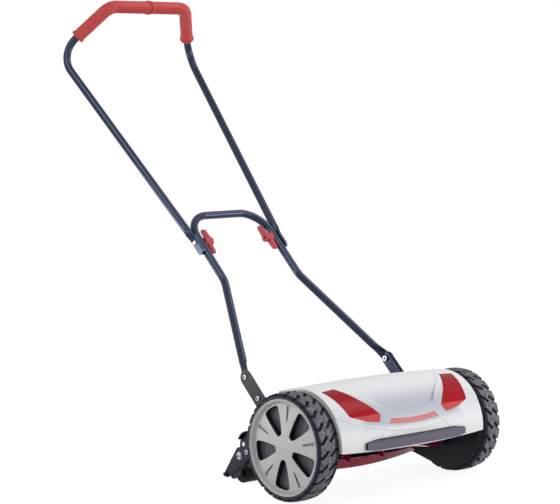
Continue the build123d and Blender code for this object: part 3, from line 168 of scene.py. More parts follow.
white_floor = bpy.data.materials.new("matt white studio floor")
white_floor.use_nodes = True
tree = white_floor.node_tree
tree.nodes.clear()
matt = add_node(tree, "ShaderNodeBsdfDiffuse", Color=linear("F4F4F4"))
faint = add_node(tree, "ShaderNodeBsdfDiffuse", Color=linear("8F8F8F"))
glow = add_node(tree, "ShaderNodeEmission", Color=WHITE, Strength=FLOOR_GLOW)
shining = add_node(tree, "ShaderNodeAddShader", i0=faint.outputs[0], i1=glow.outputs[0])
surface = add_node(tree, "ShaderNodeMixShader", i0=seen(tree), i1=matt.outputs[0], i2=shining.outputs[0])
add_node(tree, "ShaderNodeOutputMaterial", Surface=surface.outputs[0])

bpy.ops.object.select_all(action="DESELECT")
bpy.ops.mesh.primitive_plane_add(size=FLOOR_SIZE, location=(0, 0, 0))
floor = bpy.context.object
floor.name = "studio_floor"
floor.data.materials.append(white_floor)
print("floor is", FLOOR_SIZE, "m across")

# %% [markdown]
# ## Lamps
# Five rectangular lamps stand round the mower, as softboxes and cards do in a studio. A large lamp gives
# soft shadows, and its shape is what glossy enamel and tubes reflect as a streak. They are named for where
# they stand as the camera sees the mower. A single sun lamp would be simpler, but it gives hard shadows and
# no such streak.

# %% Softboxes
# Each row: name, place, the point it looks at, width and height in metres, power in watts.
LAMPS = (
    ("upper_left", (-1.9, -0.2, 2.3), (0, 0.0, 0.4), 0.7, 1.5, 16),
    ("overhead", (1.1, -1.0, 2.3), (0.15, -0.35, 0.15), 1.4, 1.4, 17),
    ("left_rear_card", (-1.35, 1.1, 0.18), (-0.2, -0.15, 0.25), 0.6, 0.3, 7),
    ("front_low", (0.9, -2.9, 0.5), (0, -0.3, 0.15), 2.0, 0.9, 9),
    ("right_card", (2.3, -2.5, 0.8), (0.2, -0.3, 0.2), 1.2, 1.2, 32),
)
for name, place, aim, width, height, power in LAMPS:
    bpy.ops.object.light_add(type="AREA", location=place)
    lamp = bpy.context.object
    lamp.name = name
    lamp.data.shape = "RECTANGLE"
    lamp.data.size = width
    lamp.data.size_y = height
    lamp.data.energy = power
    lamp.visible_camera = False
    lamp.rotation_euler = (Vector(aim) - Vector(place)).to_track_quat("-Z", "Y").to_euler()
print("studio is lit by", len(LAMPS), "lamps")

# %% [markdown]
# ## Finishes
# Each finish is made once and handed to every node that the record gives to its slot. A finish starts with
# fine colour and gloss changes, and then adds what its part shows: painted shade on the tyre's groove
# floors, a painted reflection that makes the lower facet of the hood's red inserts paler, bare steel along a
# blade's edge. Patterns are sized in millimetres.
# Mica, flake and moulded grain are finer than this picture can show, so they are drawn coarser than real.
#
# Such detail could be painted on an image, but patterns that read the mower's own metres need no unwrapping
# and stay sharp at any size. The next helpers say where a point lies and which way its surface faces.


# %% Start a material
def finish(name, colour, roughness, ior=1.5, metallic=0.0):
    """A new material with its constant values on the shader; returns it with its tree and shader."""
    material = bpy.data.materials.new(name)
    material.use_nodes = True
    shader = material.node_tree.nodes["Principled BSDF"]
    shader.inputs["Base Color"].default_value = linear(colour)
    shader.inputs["Roughness"].default_value = roughness
    if not metallic:
        shader.inputs["IOR"].default_value = ior
    shader.inputs["Metallic"].default_value = metallic
    return material, material.node_tree, shader


finishes = {}
print("slots to fill:", len(set(part["material_slot"] for part in subparts)))


# %% Arithmetic on masks
# A mask is a value from 0 to 1 that says how much of a colour a point gets.
def arithmetic(tree, operation, a, b=0.0):
    """One arithmetic step between values or sockets."""
    return add_node(tree, "ShaderNodeMath", {"operation": operation}, i0=a, i1=b).outputs[0]


def both(tree, a, b):
    """Where two masks are both 1."""
    return arithmetic(tree, "MULTIPLY", a, b)


def either(tree, a, b):
    """Where at least one of two masks is 1."""
    return arithmetic(tree, "MAXIMUM", a, b)


def rise(tree, value, low, high):
    """A mask: 0 below low, 1 above high and a smooth run between them. It falls where low is above high."""
    smooth = {"interpolation_type": "SMOOTHSTEP"}
    node = add_node(tree, "ShaderNodeMapRange", smooth, Value=value, From_Min=low, From_Max=high)
    return node.outputs["Result"]


# %% Where a point lies and which way it faces
UP = (0, 0, 1)
LEFT = (1, 0, 0)


def place_of(tree):
    """Object coordinates, which are metres in the mower's own frame, whole and split."""
    coords = add_node(tree, "ShaderNodeTexCoord")
    split = add_node(tree, "ShaderNodeSeparateXYZ", Vector=coords.outputs["Object"])
    return coords.outputs["Object"], split.outputs


def from_middle(tree):
    """Distance to either side of the mower's middle plane."""
    _, (across, _, _) = place_of(tree)
    return arithmetic(tree, "ABSOLUTE", across)


def radius_from(tree, centre):
    """Distance from an axis that runs along X through a point."""
    place, _ = place_of(tree)
    minus = {"operation": "SUBTRACT"}
    times = {"operation": "MULTIPLY"}
    offset = add_node(tree, "ShaderNodeVectorMath", minus, i0=place, i1=tuple(centre))
    flat = add_node(tree, "ShaderNodeVectorMath", times, i0=offset.outputs[0], i1=(0, 1, 1))
    length = add_node(tree, "ShaderNodeVectorMath", {"operation": "LENGTH"}, i0=flat.outputs[0])
    return length.outputs["Value"]


def facing(tree, way):
    """How squarely a surface faces a direction of the mower's frame, from -1 to 1."""
    coords = add_node(tree, "ShaderNodeTexCoord")
    dot = {"operation": "DOT_PRODUCT"}
    turned = add_node(tree, "ShaderNodeVectorMath", dot, i0=coords.outputs["Normal"], i1=way)
    return turned.outputs["Value"]


def facing_side(tree):
    """How squarely a surface faces the left or the right, from 0 to 1."""
    return arithmetic(tree, "ABSOLUTE", facing(tree, LEFT))


# %% Colour, gloss and relief
MOTTLE_DETAIL = 3.0
MOTTLE_EDGE = (0.35, 0.65)
NOISE_LOW = 0.3
NOISE_HIGH = 0.7


def noise(tree, size_mm, detail=2.0, stretch=(1, 1, 1)):
    """Noise whose patches are about size_mm across."""
    place, _ = place_of(tree)
    times = {"operation": "MULTIPLY"}
    scaled = add_node(tree, "ShaderNodeVectorMath", times, i0=place, i1=stretch)
    scale = 1000 / size_mm
    node = add_node(tree, "ShaderNodeTexNoise", Vector=scaled.outputs[0], Scale=scale, Detail=detail)
    return node.outputs["Fac"]


def blend(tree, amount, a, b):
    """Colour a turning into colour b; each is a hex code or a socket."""
    a = linear(a) if isinstance(a, str) else a
    b = linear(b) if isinstance(b, str) else b
    node = add_node(tree, "ShaderNodeMix", {"data_type": "RGBA"}, i0=amount, i6=a, i7=b)
    return node.outputs[2]


def mottle(tree, size_mm, a, b):
    """Two close colours in soft patches."""
    return blend(tree, rise(tree, noise(tree, size_mm, MOTTLE_DETAIL), *MOTTLE_EDGE), a, b)


def paint(tree, shader, colour):
    """Give the shader a colour that changes over the surface."""
    tree.links.new(colour, shader.inputs["Base Color"])


def gloss(tree, shader, size_mm, low, high):
    """Roughness that wanders between two values."""
    node = add_node(
        tree, "ShaderNodeMapRange", Value=noise(tree, size_mm),
        From_Min=NOISE_LOW, From_Max=NOISE_HIGH, To_Min=low, To_Max=high,
    )
    tree.links.new(node.outputs["Result"], shader.inputs["Roughness"])


def relief(tree, shader, height, depth_mm):
    """Bumps of a real depth from a height between 0 and 1."""
    bump = add_node(tree, "ShaderNodeBump", Height=height, Distance=depth_mm / 1000, Strength=1.0)
    tree.links.new(bump.outputs[0], shader.inputs["Normal"])


# %% [markdown]
# ## Hood and bumper
# The hood is one moulding in silver plastic, with a recessed panel in the middle and a short apron below it.
# A red insert sits at each side, and a soft grey strip runs along the front. Levels on them are measured up
# the sloping face, so one helper gives that distance, and the finishes follow the moulding's own lines.

# %% Silver hood
PANEL_EDGE = (0.150, 0.120)
TOP_HIGHLIGHT_FACES = (0.60, 0.95)
APRON_HIGHLIGHT_FACES = (0.40, 0.16)
APRON_LEVEL = -0.050
SEAM_FROM_MIDDLE = 0.078
SEAM_SLANT = 1.1
SEAM_HALF_WIDTH = (0.0011, 0.0005)
SEAM_START = (0.0, 0.001)
SEAM_END = (0.021, 0.020)


def up_the_face(tree):
    """Distance up the hood's sloping face from the level of the axle, in metres."""
    _, (_, along, height) = place_of(tree)
    level = arithmetic(tree, "ADD", along, height)
    above_axle = arithmetic(tree, "SUBTRACT", level, wheel_axle.y + wheel_axle.z)
    return arithmetic(tree, "MULTIPLY", above_axle, 1 / sqrt(2))


def apron_seams(tree):
    """A mask of the two short seam lines that run down and outwards over the apron."""
    drop = arithmetic(tree, "SUBTRACT", APRON_LEVEL, up_the_face(tree))
    seam_at = arithmetic(tree, "ADD", SEAM_FROM_MIDDLE, arithmetic(tree, "MULTIPLY", drop, SEAM_SLANT))
    off_seam = arithmetic(tree, "ABSOLUTE", arithmetic(tree, "SUBTRACT", from_middle(tree), seam_at))
    started = both(tree, rise(tree, off_seam, *SEAM_HALF_WIDTH), rise(tree, drop, *SEAM_START))
    return both(tree, started, rise(tree, drop, *SEAM_END))


# Silver ABS with mica, cool grey on the slope. Faces that point up get a painted highlight near white, and
# the apron a paler painted highlight.
material, tree, shader = finish("silver moulded ABS with mica", "C8CBD1", 0.4, ior=1.4)
panel = rise(tree, from_middle(tree), *PANEL_EDGE)
slope = blend(tree, panel, mottle(tree, 0.5, "CBCCD0", "D4D5D8"), mottle(tree, 0.5, "ADB0B9", "B7BAC2"))
# Painted highlight: faces that point up turn near white.
lit = blend(tree, rise(tree, facing(tree, UP), *TOP_HIGHLIGHT_FACES), slope, "E2E2E2")
# Painted highlight: the steep apron faces turn a paler grey.
apron_highlighted = blend(tree, rise(tree, facing(tree, UP), *APRON_HIGHLIGHT_FACES), lit, "DAD9DA")
paint(tree, shader, blend(tree, apron_seams(tree), apron_highlighted, "A9AAAF"))
gloss(tree, shader, size_mm=14, low=0.34, high=0.46)
relief(tree, shader, noise(tree, size_mm=0.35, detail=1.0), depth_mm=0.004)
finishes["hood_silver"] = material
print(material.name, "has", len(tree.nodes), "nodes")

# %% Red inserts
# Red ABS from a polished mould: glossy. Lower down the face the red is painted paler and pinker, a painted
# reflection of the pale ground that is strongest on the lower facet and the lower edge.
REFLECTION_START_LEVEL = (0.030, -0.015)
FACET_REFLECTION_LEVEL = (-0.0225, -0.0265)
EDGE_REFLECTION_LEVEL = (-0.0385, -0.0400)

material, tree, shader = finish("glossy red ABS", "B0101E", 0.2, ior=1.18)
level = up_the_face(tree)
# Painted reflection of the pale ground: the red turns paler and pinker lower down the face.
upper = mottle(tree, 3.0, "90000A", "9A0212")
middle = blend(tree, rise(tree, level, *REFLECTION_START_LEVEL), upper, "A00A18")
facet = blend(tree, rise(tree, level, *FACET_REFLECTION_LEVEL), middle, "C04C4E")
paint(tree, shader, blend(tree, rise(tree, level, *EDGE_REFLECTION_LEVEL), facet, "C47678"))
gloss(tree, shader, size_mm=18, low=0.16, high=0.24)
finishes["hood_red"] = material
print(material.name, "has", len(tree.nodes), "nodes")

# %% Grey bumper
# Soft bumper strip: a grey front face, nearly black on its narrow sides.
BUMPER_TOP_FACES = (0.04, 0.20)
BUMPER_END_FACES = (0.20, 0.40)

material, tree, shader = finish("grey soft-touch TPE", "62606B", 0.6, ior=1.4)
front = mottle(tree, 0.8, "535160", "5F5D6A")
top = rise(tree, facing(tree, UP), *BUMPER_TOP_FACES)
ends = rise(tree, facing_side(tree), *BUMPER_END_FACES)
paint(tree, shader, blend(tree, either(tree, top, ends), front, "0A0A10"))
relief(tree, shader, noise(tree, size_mm=0.7, detail=1.0), depth_mm=0.02)
finishes["bumper_grey"] = material
print(material.name, "has", len(tree.nodes), "nodes")

# %% [markdown]
# ## Paint and bare metal
# The sheet and tube parts are painted, the knife is ground, and the fasteners are plated or blackened. Paint
# is a plastic layer, so only its flakes are metallic. Bare metal takes its colour from what it reflects, so
# its base colour is pale and a slow change of gloss does most of the work.

# %% Side plates and handle
# Black stove enamel on sheet: soft gloss with a slight orange peel.
material, tree, shader = finish("black stove enamel on sheet steel", "1A1D26", 0.3, ior=1.3)
paint(tree, shader, mottle(tree, 6.0, "070A15", "0D111D"))
gloss(tree, shader, size_mm=9, low=0.26, high=0.38)
relief(tree, shader, noise(tree, size_mm=1.6, detail=1.0), depth_mm=0.012)
finishes["side_plate_paint"] = material

# Navy powder coat with fine metal flake on tube: the eye gets a deep blue with long pale blue highlights.
material, tree, shader = finish("navy metallic powder coat", "262E40", 0.16, metallic=0.6)
paint(tree, shader, mottle(tree, 2.5, "222A3E", "2B344A"))
gloss(tree, shader, size_mm=12, low=0.13, high=0.19)
finishes["handle_paint"] = material
print("paints:", finishes["side_plate_paint"].name, "and", finishes["handle_paint"].name)

# %% Reel and bed knife
# Red enamel on the reel, ground to bare steel along the cutting edges. The ground line wavers a little.
GROUND_EDGE = (0.0592, 0.0598)
EDGE_WAVER = 0.0006

reel_axis = joint_at["reel_spin"]
material, tree, shader = finish("red enamel, ground at the cutting edge", "7A0A24", 0.15, ior=1.25)
waver = arithmetic(tree, "MULTIPLY", noise(tree, size_mm=3.0), EDGE_WAVER)
edge = rise(tree, arithmetic(tree, "ADD", radius_from(tree, reel_axis), waver), *GROUND_EDGE)
paint(tree, shader, blend(tree, edge, mottle(tree, 9.0, "84042A", "960A34"), "C4C2C2"))
tree.links.new(edge, shader.inputs["Metallic"])
gloss(tree, shader, size_mm=5, low=0.12, high=0.2)
finishes["reel_paint"] = material

# Ground steel: fine scratches that run along the bed knife.
ALONG_KNIFE = (0.02, 1, 1)
material, tree, shader = finish("ground tool steel", "B4B5B8", 0.3, metallic=1.0)
scratches = noise(tree, size_mm=0.5, detail=4.0, stretch=ALONG_KNIFE)
paint(tree, shader, blend(tree, scratches, "9C9DA0", "CBCCCF"))
relief(tree, shader, scratches, depth_mm=0.006)
gloss(tree, shader, size_mm=8, low=0.24, high=0.36)
finishes["ground_steel"] = material
print("blades are bare steel from", GROUND_EDGE[1] * 1000, "mm out")

# %% Bolts and clips
# Bright zinc plate: pale, slightly blue, cloudy. The key socket of each bolt that shows outside is painted
# near black as shade.
# The frame bolts stand on two axes, found from opposite corners of their box. The others stand on one each.
BOLT_INSET = Vector((0, 0.0060, 0.0052))
SOCKET_SHADE_EDGE = (0.0029, 0.0024)

low, high = (Vector(corner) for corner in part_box("frame_bolts"))
socket_places = [low + BOLT_INSET, high - BOLT_INSET]
for bolts in ("pivot_bolts", "height_bolts"):
    low, high = (Vector(corner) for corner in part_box(bolts))
    socket_places.append((low + high) / 2)
material, tree, shader = finish("bright zinc plate", "D4D7DC", 0.28, metallic=1.0)
plate = mottle(tree, 1.8, "9DA1A8", "BEC1C6")
# Painted shade: a near-black disc round each bolt's axis stands for the shade inside its key socket.
for socket_place in socket_places:
    plate = blend(tree, rise(tree, radius_from(tree, socket_place), *SOCKET_SHADE_EDGE), plate, "1C1D22")
paint(tree, shader, plate)
gloss(tree, shader, size_mm=2.5, low=0.28, high=0.42)
finishes["zinc_steel"] = material

# Black oxide: oily dark steel with a dull sheen.
material, tree, shader = finish("black oxide on steel", "26272B", 0.42, metallic=1.0)
paint(tree, shader, mottle(tree, 1.5, "1E1F23", "303238"))
gloss(tree, shader, size_mm=3, low=0.36, high=0.5)
finishes["dark_steel"] = material
print("key sockets on", len(socket_places), "axes")

# %% [markdown]
# ## Rubber and plastic
# Tyres, wheels and covers are moulded. What tells them apart is dust and painted shade: dust greys the lugs
# and the flat outer faces, while grooves, pockets and openings are painted dark as shade. Each ring could be
# a piece of its own, but masks built from the distance to the axle and from the way a face points keep the
# mouldings whole.

# %% Tyres
# Tyre rubber: dusty grey on the lugs. The grooves and the shoulder nearest the hood are painted near black
# as shade, and a thin painted highlight line runs round the side.
DUST_EDGE = (0.30, 0.70)
GROOVE_SHADE = (0.1046, 0.1014)
INNER_SHOULDER_SHADE = (0.2185, 0.2135)
SIDE_FACES = (0.7, 0.9)
HIGHLIGHT_RING_INSIDE = (0.0954, 0.0958)
HIGHLIGHT_RING_OUTSIDE = (0.0970, 0.0966)

material, tree, shader = finish("dusty tyre rubber", "3A3B41", 0.7, ior=1.3)
reach = radius_from(tree, wheel_axle)
lugs = blend(tree, rise(tree, noise(tree, size_mm=7.0, detail=4.0), *DUST_EDGE), "46474E", "78777C")
# Painted shade: groove floors inside the lugs' reach turn near black.
shaded_tread = blend(tree, rise(tree, reach, *GROOVE_SHADE), lugs, "12141C")
# Painted shade: the shoulder nearest the hood turns near black.
shaded_tread = blend(tree, rise(tree, from_middle(tree), *INNER_SHOULDER_SHADE), shaded_tread, "10141F")
# Painted highlight: a thin pale ring round the side.
ring_highlight = both(tree, rise(tree, reach, *HIGHLIGHT_RING_INSIDE), rise(tree, reach, *HIGHLIGHT_RING_OUTSIDE))
side = blend(tree, ring_highlight, mottle(tree, 4.0, "121624", "1A1E2C"), "585A64")
paint(tree, shader, blend(tree, rise(tree, facing_side(tree), *SIDE_FACES), shaded_tread, side))
gloss(tree, shader, size_mm=4, low=0.6, high=0.8)
relief(tree, shader, noise(tree, size_mm=0.6, detail=3.0), depth_mm=0.05)
finishes["tyre_rubber"] = material
print(material.name, "has", len(tree.nodes), "nodes")

# %% Wheels
# Wheel moulding: flat faces that point outwards look dusty grey, and the sides of the pockets and faces that
# point inwards are painted dark as shade.
FLAT_FACES = (0.80, 0.95)

material, tree, shader = finish("black polypropylene", "2A2B31", 0.5, ior=1.35)
_, (across, _, _) = place_of(tree)
outward = arithmetic(tree, "MULTIPLY", arithmetic(tree, "SIGN", across), facing(tree, LEFT))
# Painted shade: faces that do not point outwards are near black.
wall_shade = mottle(tree, 4.0, "0E1322", "151A2C")
faces = mottle(tree, 6.0, "4A4950", "55545B")
paint(tree, shader, blend(tree, rise(tree, outward, *FLAT_FACES), wall_shade, faces))
gloss(tree, shader, size_mm=6, low=0.42, high=0.56)
relief(tree, shader, noise(tree, size_mm=0.4, detail=1.0), depth_mm=0.01)
finishes["wheel_plastic"] = material
print(material.name, "has", len(tree.nodes), "nodes")

# %% Wheel covers
# Wheel cover: warm light grey with a satin spark-eroded grain. Its face is a shallow cone, and five tapered
# recesses are sunk into it. Their floors are painted darker than the face as shade, darkest near the hub,
# their steep sides are painted near black as shade, and the sloping band near the outer edge is painted mid
# grey as shade.
RIM_STARTS = (0.0838, 0.0848)
RIM_STOPS = (0.0895, 0.0878)
WALL_FACES = (0.93, 0.70)
WALLS_STOP = (0.0838, 0.0832)
CONE_AT_HUB = 0.2508
CONE_FALL = 0.05207
BELOW_CONE = (0.0003, 0.0007)
FACE_STOPS = (0.0828, 0.0818)
DEEP_FLOOR = (0.2460, 0.2456)
NEAR_HUB = (0.066, 0.052)

material, tree, shader = finish("warm grey satin ABS", "C6C4C0", 0.42)
reach = radius_from(tree, wheel_axle)
out = from_middle(tree)
# Painted shade: the sloping band near the outer edge is mid grey.
rim_shade = both(tree, rise(tree, reach, *RIM_STARTS), rise(tree, reach, *RIM_STOPS))
face = blend(tree, rim_shade, mottle(tree, 3.0, "B4B2AF", "BCBAB7"), "A2A2A2")
cone = arithmetic(tree, "SUBTRACT", CONE_AT_HUB, arithmetic(tree, "MULTIPLY", reach, CONE_FALL))
depth = arithmetic(tree, "SUBTRACT", cone, out)
# Painted shade: recess floors below the cone are darker grey.
sunk = both(tree, rise(tree, depth, *BELOW_CONE), rise(tree, reach, *FACE_STOPS))
face = blend(tree, sunk, face, "85858A")
# Painted shade: steep sides, and the floors nearest the hub, are near black.
wall_shade = both(tree, rise(tree, facing_side(tree), *WALL_FACES), rise(tree, reach, *WALLS_STOP))
deep = both(tree, rise(tree, out, *DEEP_FLOOR), rise(tree, reach, *NEAR_HUB))
paint(tree, shader, blend(tree, either(tree, wall_shade, deep), face, "24262E"))
gloss(tree, shader, size_mm=5, low=0.38, high=0.48)
relief(tree, shader, noise(tree, size_mm=0.3, detail=1.0), depth_mm=0.006)
finishes["cap_plastic"] = material
print(material.name, "has", len(tree.nodes), "nodes")

# %% Plain plastics
# Each row: the slot, its material, a dark and a light colour, and the range of its roughness.
PLAIN = (
    # Acetal is milky and a little waxy.
    ("bearing_plastic", "natural acetal", "D2D0C6", "DEDCD2", 0.4, 0.5),
    # Glass fibre takes the shine off nylon, so it looks dull and dark.
    ("gear_plastic", "glass-filled nylon", "060A1A", "0D1224", 0.45, 0.6),
    ("arm_plastic", "dark grey glass-filled nylon", "222230", "2C2C3A", 0.42, 0.56),
    # Polyethylene tube looks waxy black.
    ("roller_plastic", "black polyethylene tube", "060810", "0D1019", 0.5, 0.62),
    # Soft PVC is a satin, slightly faded red, and the harder knobs are a little glossier.
    ("grip_rubber", "red soft PVC grip", "BA4443", "C4504F", 0.4, 0.52),
    ("knob_red", "red moulded polypropylene", "AE3E44", "B84A50", 0.3, 0.42),
)
for slot_name, name, dark, light, low_gloss, high_gloss in PLAIN:
    material, tree, shader = finish(name, light, low_gloss, ior=1.25)
    paint(tree, shader, mottle(tree, 4.0, dark, light))
    gloss(tree, shader, size_mm=6, low=low_gloss, high=high_gloss)
    relief(tree, shader, noise(tree, size_mm=1.0, detail=2.0), depth_mm=0.004)
    finishes[slot_name] = material
print(len(PLAIN), "plain plastics")

# %% [markdown]
# ## Handing out the finishes
# The record names a finish slot for every node, so a loop can dress them all. Doing it by hand for each part
# would be easy to get wrong, and a new part would be missed.

# %% Dress the nodes
for part in subparts:
    for spot in nodes[part["node"]].material_slots:
        spot.material = finishes[part["material_slot"]]
print(len(finishes), "finishes on", len(subparts), "nodes")

# %% [markdown]
# ## Rounded edges
# Moulded plastic and rubber have small radii along every edge, and those thin bright lines are what make
# a moulding look real. The solid model has sharp corners there. So the most visible mouldings are copied,
# their loose triangles are joined into whole faces, and each sharp edge gets its radius.

# %% Round the mouldings' edges
MERGE_DISTANCE = 0.00001
FLAT_WITHIN = radians(1.0)
SMOOTH_BELOW = radians(38)
SHARP_ABOVE = radians(32.0)
RADIUS_SEGMENTS = 3


def rounded(node, name, radius_mm):
    """A copy of a node's mesh with a radius along its sharp edges, which is shown in the node's place."""
    source = nodes[node]
    bpy.ops.object.select_all(action="DESELECT")
    piece = bpy.data.objects.new(name, source.data.copy())
    scene.collection.objects.link(piece)
    piece.select_set(True)
    bpy.context.view_layer.objects.active = piece
    bpy.ops.object.mode_set(mode="EDIT")
    bpy.ops.mesh.select_all(action="SELECT")
    bpy.ops.mesh.remove_doubles(threshold=MERGE_DISTANCE)
    bpy.ops.mesh.dissolve_limited(angle_limit=FLAT_WITHIN)
    bpy.ops.mesh.select_all(action="DESELECT")
    bpy.ops.object.mode_set(mode="OBJECT")
    bpy.ops.object.shade_smooth_by_angle(angle=SMOOTH_BELOW)
    edge = piece.modifiers.new("edge radius", "BEVEL")
    edge.width = radius_mm / 1000
    edge.segments = RADIUS_SEGMENTS
    edge.limit_method = "ANGLE"
    edge.angle_limit = SHARP_ABOVE
    edge.miter_outer = "MITER_ARC"
    edge.use_clamp_overlap = True
    edge.harden_normals = True
    bpy.ops.object.modifier_apply(modifier="edge radius")
    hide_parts(node)
    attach(piece, source["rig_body"])
    return piece


# Each row: the node, the name of its rounded copy and the radius in millimetres.
MOULDED = (
    ("hood_shell", "hood_moulding", 0.7), ("bumper", "bumper_moulding", 2.2),
    ("tyre_left", "tyre_rubber_left", 0.7), ("tyre_right", "tyre_rubber_right", 0.7),
    ("hood_insert_left", "lamp_left", 0.9), ("hood_insert_right", "lamp_right", 0.9),
    ("hood_strip", "lamp_strip", 0.6),
    ("wheel_cap_left", "cover_left", 0.5), ("wheel_cap_right", "cover_right", 0.5),
    ("clamp_knob_left", "wing_knob_left", 1.0), ("clamp_knob_right", "wing_knob_right", 1.0),
    ("roller_arm_left", "arm_left", 0.8), ("roller_arm_right", "arm_right", 0.8),
)
for node, name, radius_mm in MOULDED:
    piece = rounded(node, name, radius_mm)
    print(name, "has", len(piece.data.polygons), "faces")

# %% [markdown]
# ## The line of the grips
# Each grip starts above the handle's shoulder, goes round the corner and ends at the middle of the bar. Its
# line could be drawn by hand as a curve. It is worked out here instead, in the handle's own directions from
# the fold axis, so that it follows the middle of the tube: across, up the leg and out of the legs' plane.

# %% Find the line
FOLD = joint_at["handle_fold"]
TILT = radians(46)
ACROSS = Vector((1, 0, 0))
UP_LEG = Vector((0, cos(TILT), sin(TILT)))
OUT_OF_LEGS = Vector((0, -sin(TILT), cos(TILT)))
SHOULDER = (0.1835, 0.542, 0.0)
CORNER = (0.106, 0.559, 0.1297)
BAR_MIDDLE = (0.0016, 0.559, 0.1297)
BARE_SHARE = 0.36
BEND_RADIUS = 0.032
BEND_STEPS = 16


def on_handle(point, side):
    """A point of the upper handle: across, up its legs from the fold axis and out of their plane."""
    x, up, out = point
    return FOLD + ACROSS * (side * x) + UP_LEG * up + OUT_OF_LEGS * out


def grip_line(side):
    """Points along the middle of a grip, from its lower end to the middle of the bar."""
    shoulder, corner, end = (on_handle(p, side) for p in (SHOULDER, CORNER, BAR_MIDDLE))
    start = shoulder.lerp(corner, BARE_SHARE)
    into = (corner - start).normalized()
    out_of = (end - corner).normalized()
    turn = into.angle(out_of)
    cut = BEND_RADIUS * sin(turn / 2) / cos(turn / 2)
    centre = corner + (out_of - into).normalized() * (BEND_RADIUS / cos(turn / 2))
    first = corner - into * cut
    axis = into.cross(out_of).normalized()
    turns = [Matrix.Rotation(turn * k / BEND_STEPS, 3, axis) for k in range(BEND_STEPS + 1)]
    return [start] + [centre + part_turn @ (first - centre) for part_turn in turns] + [end]


def length_of(line):
    """Length along a line of points."""
    return sum((b - a).length for a, b in zip(line, line[1:]))


print("grip line is", round(length_of(grip_line(1)) * 1000, 1), "mm long")

# %% [markdown]
# ## Turned and bent sleeves
# The real grip is a soft sleeve pushed onto the tube, with a lip at its lower end, a flange at the middle of
# the bar and fine ribs under the bar. A curve with a round bevel would give a plain tube. So the sleeve is
# turned straight first, ring by ring, as on a lathe, and then bent round the handle by a curve. Its bore is
# part of the shell, so the shell is closed.

# %% Turn a straight sleeve
BORE_RADIUS = 0.0083
LIP_RADIUS = 0.0156
NECK_RADIUS = 0.0144
SLEEVE_RADIUS = 0.0138
COLLAR_RADIUS = 0.0142
FLANGE_RADIUS = 0.0154
LIP_END = 0.0034
NECK_START = 0.0036
NECK_END = 0.0064
RIB_STEP = 0.0019
LAST_RIB_BEFORE_END = 0.0086
COLLAR_BEFORE_END = 0.0061
COLLAR_TOP_BEFORE_END = 0.0023
FLANGE_BEFORE_END = 0.0021
RING_POINTS = 40
BORE_STEPS = 40


def sleeve_rings(length):
    """Place and radius of each ring along the grip: along the outside, then back through the bore."""
    rings = [(0.0, LIP_RADIUS), (LIP_END, LIP_RADIUS)]
    rings += [(NECK_START, NECK_RADIUS), (NECK_END, NECK_RADIUS)]
    ribs = []
    while rings[-1][0] < length - LAST_RIB_BEFORE_END:
        rings.append((rings[-1][0] + RIB_STEP, SLEEVE_RADIUS))
        ribs.append(rings[-1][0])
    rings += [(length - COLLAR_BEFORE_END, SLEEVE_RADIUS), (length - COLLAR_TOP_BEFORE_END, COLLAR_RADIUS)]
    rings += [(length - FLANGE_BEFORE_END, FLANGE_RADIUS), (length, FLANGE_RADIUS)]
    rings += [(length * (1 - k / BORE_STEPS), BORE_RADIUS) for k in range(BORE_STEPS + 1)]
    return rings, ribs


def turned_sleeve(name, rings):
    """A straight sleeve along X, extruded from ring to ring and closed where the last meets the first."""
    bpy.ops.object.select_all(action="DESELECT")
    bpy.ops.mesh.primitive_circle_add(
        vertices=RING_POINTS, radius=BORE_RADIUS, rotation=(0, radians(90), 0)
    )
    sleeve = bpy.context.object
    sleeve.name = name
    bpy.ops.object.transform_apply(location=False, rotation=True, scale=True)
    bpy.ops.object.mode_set(mode="EDIT")
    bpy.ops.mesh.select_all(action="SELECT")
    at_x, radius = 0.0, BORE_RADIUS
    for along, wanted in rings:
        bpy.ops.mesh.extrude_region_move(TRANSFORM_OT_translate={"value": (along - at_x, 0, 0)})
        bpy.ops.transform.resize(value=(1, wanted / radius, wanted / radius), center_override=(along, 0, 0))
        at_x, radius = along, wanted
    bpy.ops.mesh.select_all(action="SELECT")
    bpy.ops.mesh.remove_doubles(threshold=MERGE_DISTANCE)
    bpy.ops.mesh.select_all(action="DESELECT")
    bpy.ops.object.mode_set(mode="OBJECT")
    return sleeve


print("a sleeve is turned from", len(sleeve_rings(length_of(grip_line(1)))[0]), "rings")

# %% Press in the ribs and bend the sleeve
RIBBED_FROM = 0.52
UNDERSIDE = -0.002
RIB_SQUEEZE = 0.92
OUTSIDE_OF_BORE = (BORE_RADIUS + SLEEVE_RADIUS) / 2
SLEEVE_SMOOTH_BELOW = radians(35)


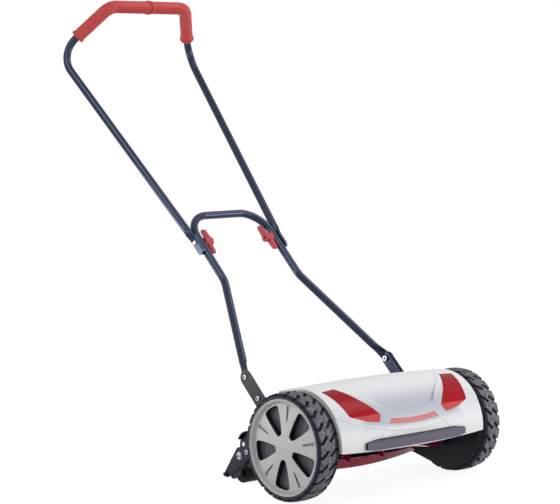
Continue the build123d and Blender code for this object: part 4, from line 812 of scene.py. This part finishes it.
def press_ribs(sleeve, ribs, length):
    """Squeeze every second ring under the bar, and turn all faces outwards."""
    pressed = set(round(rib, 5) for rib in ribs[1::2] if rib > length * RIBBED_FROM)
    for vertex in sleeve.data.vertices:
        along, y, z = vertex.co
        outside = Vector((y, z)).length > OUTSIDE_OF_BORE
        vertex.select = outside and z < UNDERSIDE and round(along, 5) in pressed
    bpy.ops.object.mode_set(mode="EDIT")
    bpy.ops.mesh.select_mode(type="VERT")
    bpy.ops.transform.resize(value=(1, RIB_SQUEEZE, RIB_SQUEEZE), center_override=(0, 0, 0))
    bpy.ops.mesh.select_all(action="SELECT")
    bpy.ops.mesh.normals_make_consistent(inside=False)
    bpy.ops.object.mode_set(mode="OBJECT")


def bend_round(sleeve, line):
    """Bend a straight sleeve along a line of points, and smooth its faces but not its lip and flange."""
    curve = bpy.data.curves.new(sleeve.name + "_line", "CURVE")
    curve.dimensions = "3D"
    spline = curve.splines.new("POLY")
    spline.points.add(len(line) - 1)
    for spot, point in zip(spline.points, line):
        spot.co = (*point, 1)
    guide = bpy.data.objects.new(sleeve.name + "_line", curve)
    scene.collection.objects.link(guide)
    bend = sleeve.modifiers.new("bend", "CURVE")
    bend.object = guide
    bpy.context.view_layer.objects.active = sleeve
    bpy.ops.object.modifier_apply(modifier="bend")
    bpy.data.objects.remove(guide)
    bpy.ops.object.select_all(action="DESELECT")
    sleeve.select_set(True)
    bpy.context.view_layer.objects.active = sleeve
    bpy.ops.object.shade_smooth_by_angle(angle=SLEEVE_SMOOTH_BELOW)


print("every second ring is pressed in to", RIB_SQUEEZE, "of its radius under the bar")


for side, name, node in ((1, "grip_sleeve_left", "grip_left"), (-1, "grip_sleeve_right", "grip_right")):
    line = grip_line(side)
    length = length_of(line)
    rings, ribs = sleeve_rings(length)
    grip = turned_sleeve(name, rings)
    press_ribs(grip, ribs, length)
    bend_round(grip, line)
    grip.data.materials.append(finishes["grip_rubber"])
    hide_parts(node)
    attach(grip, "upper_handle")
    corners = [grip.matrix_world @ vertex.co for vertex in grip.data.vertices]
    low = [min(corner[i] for corner in corners) for i in range(3)]
    high = [max(corner[i] for corner in corners) for i in range(3)]
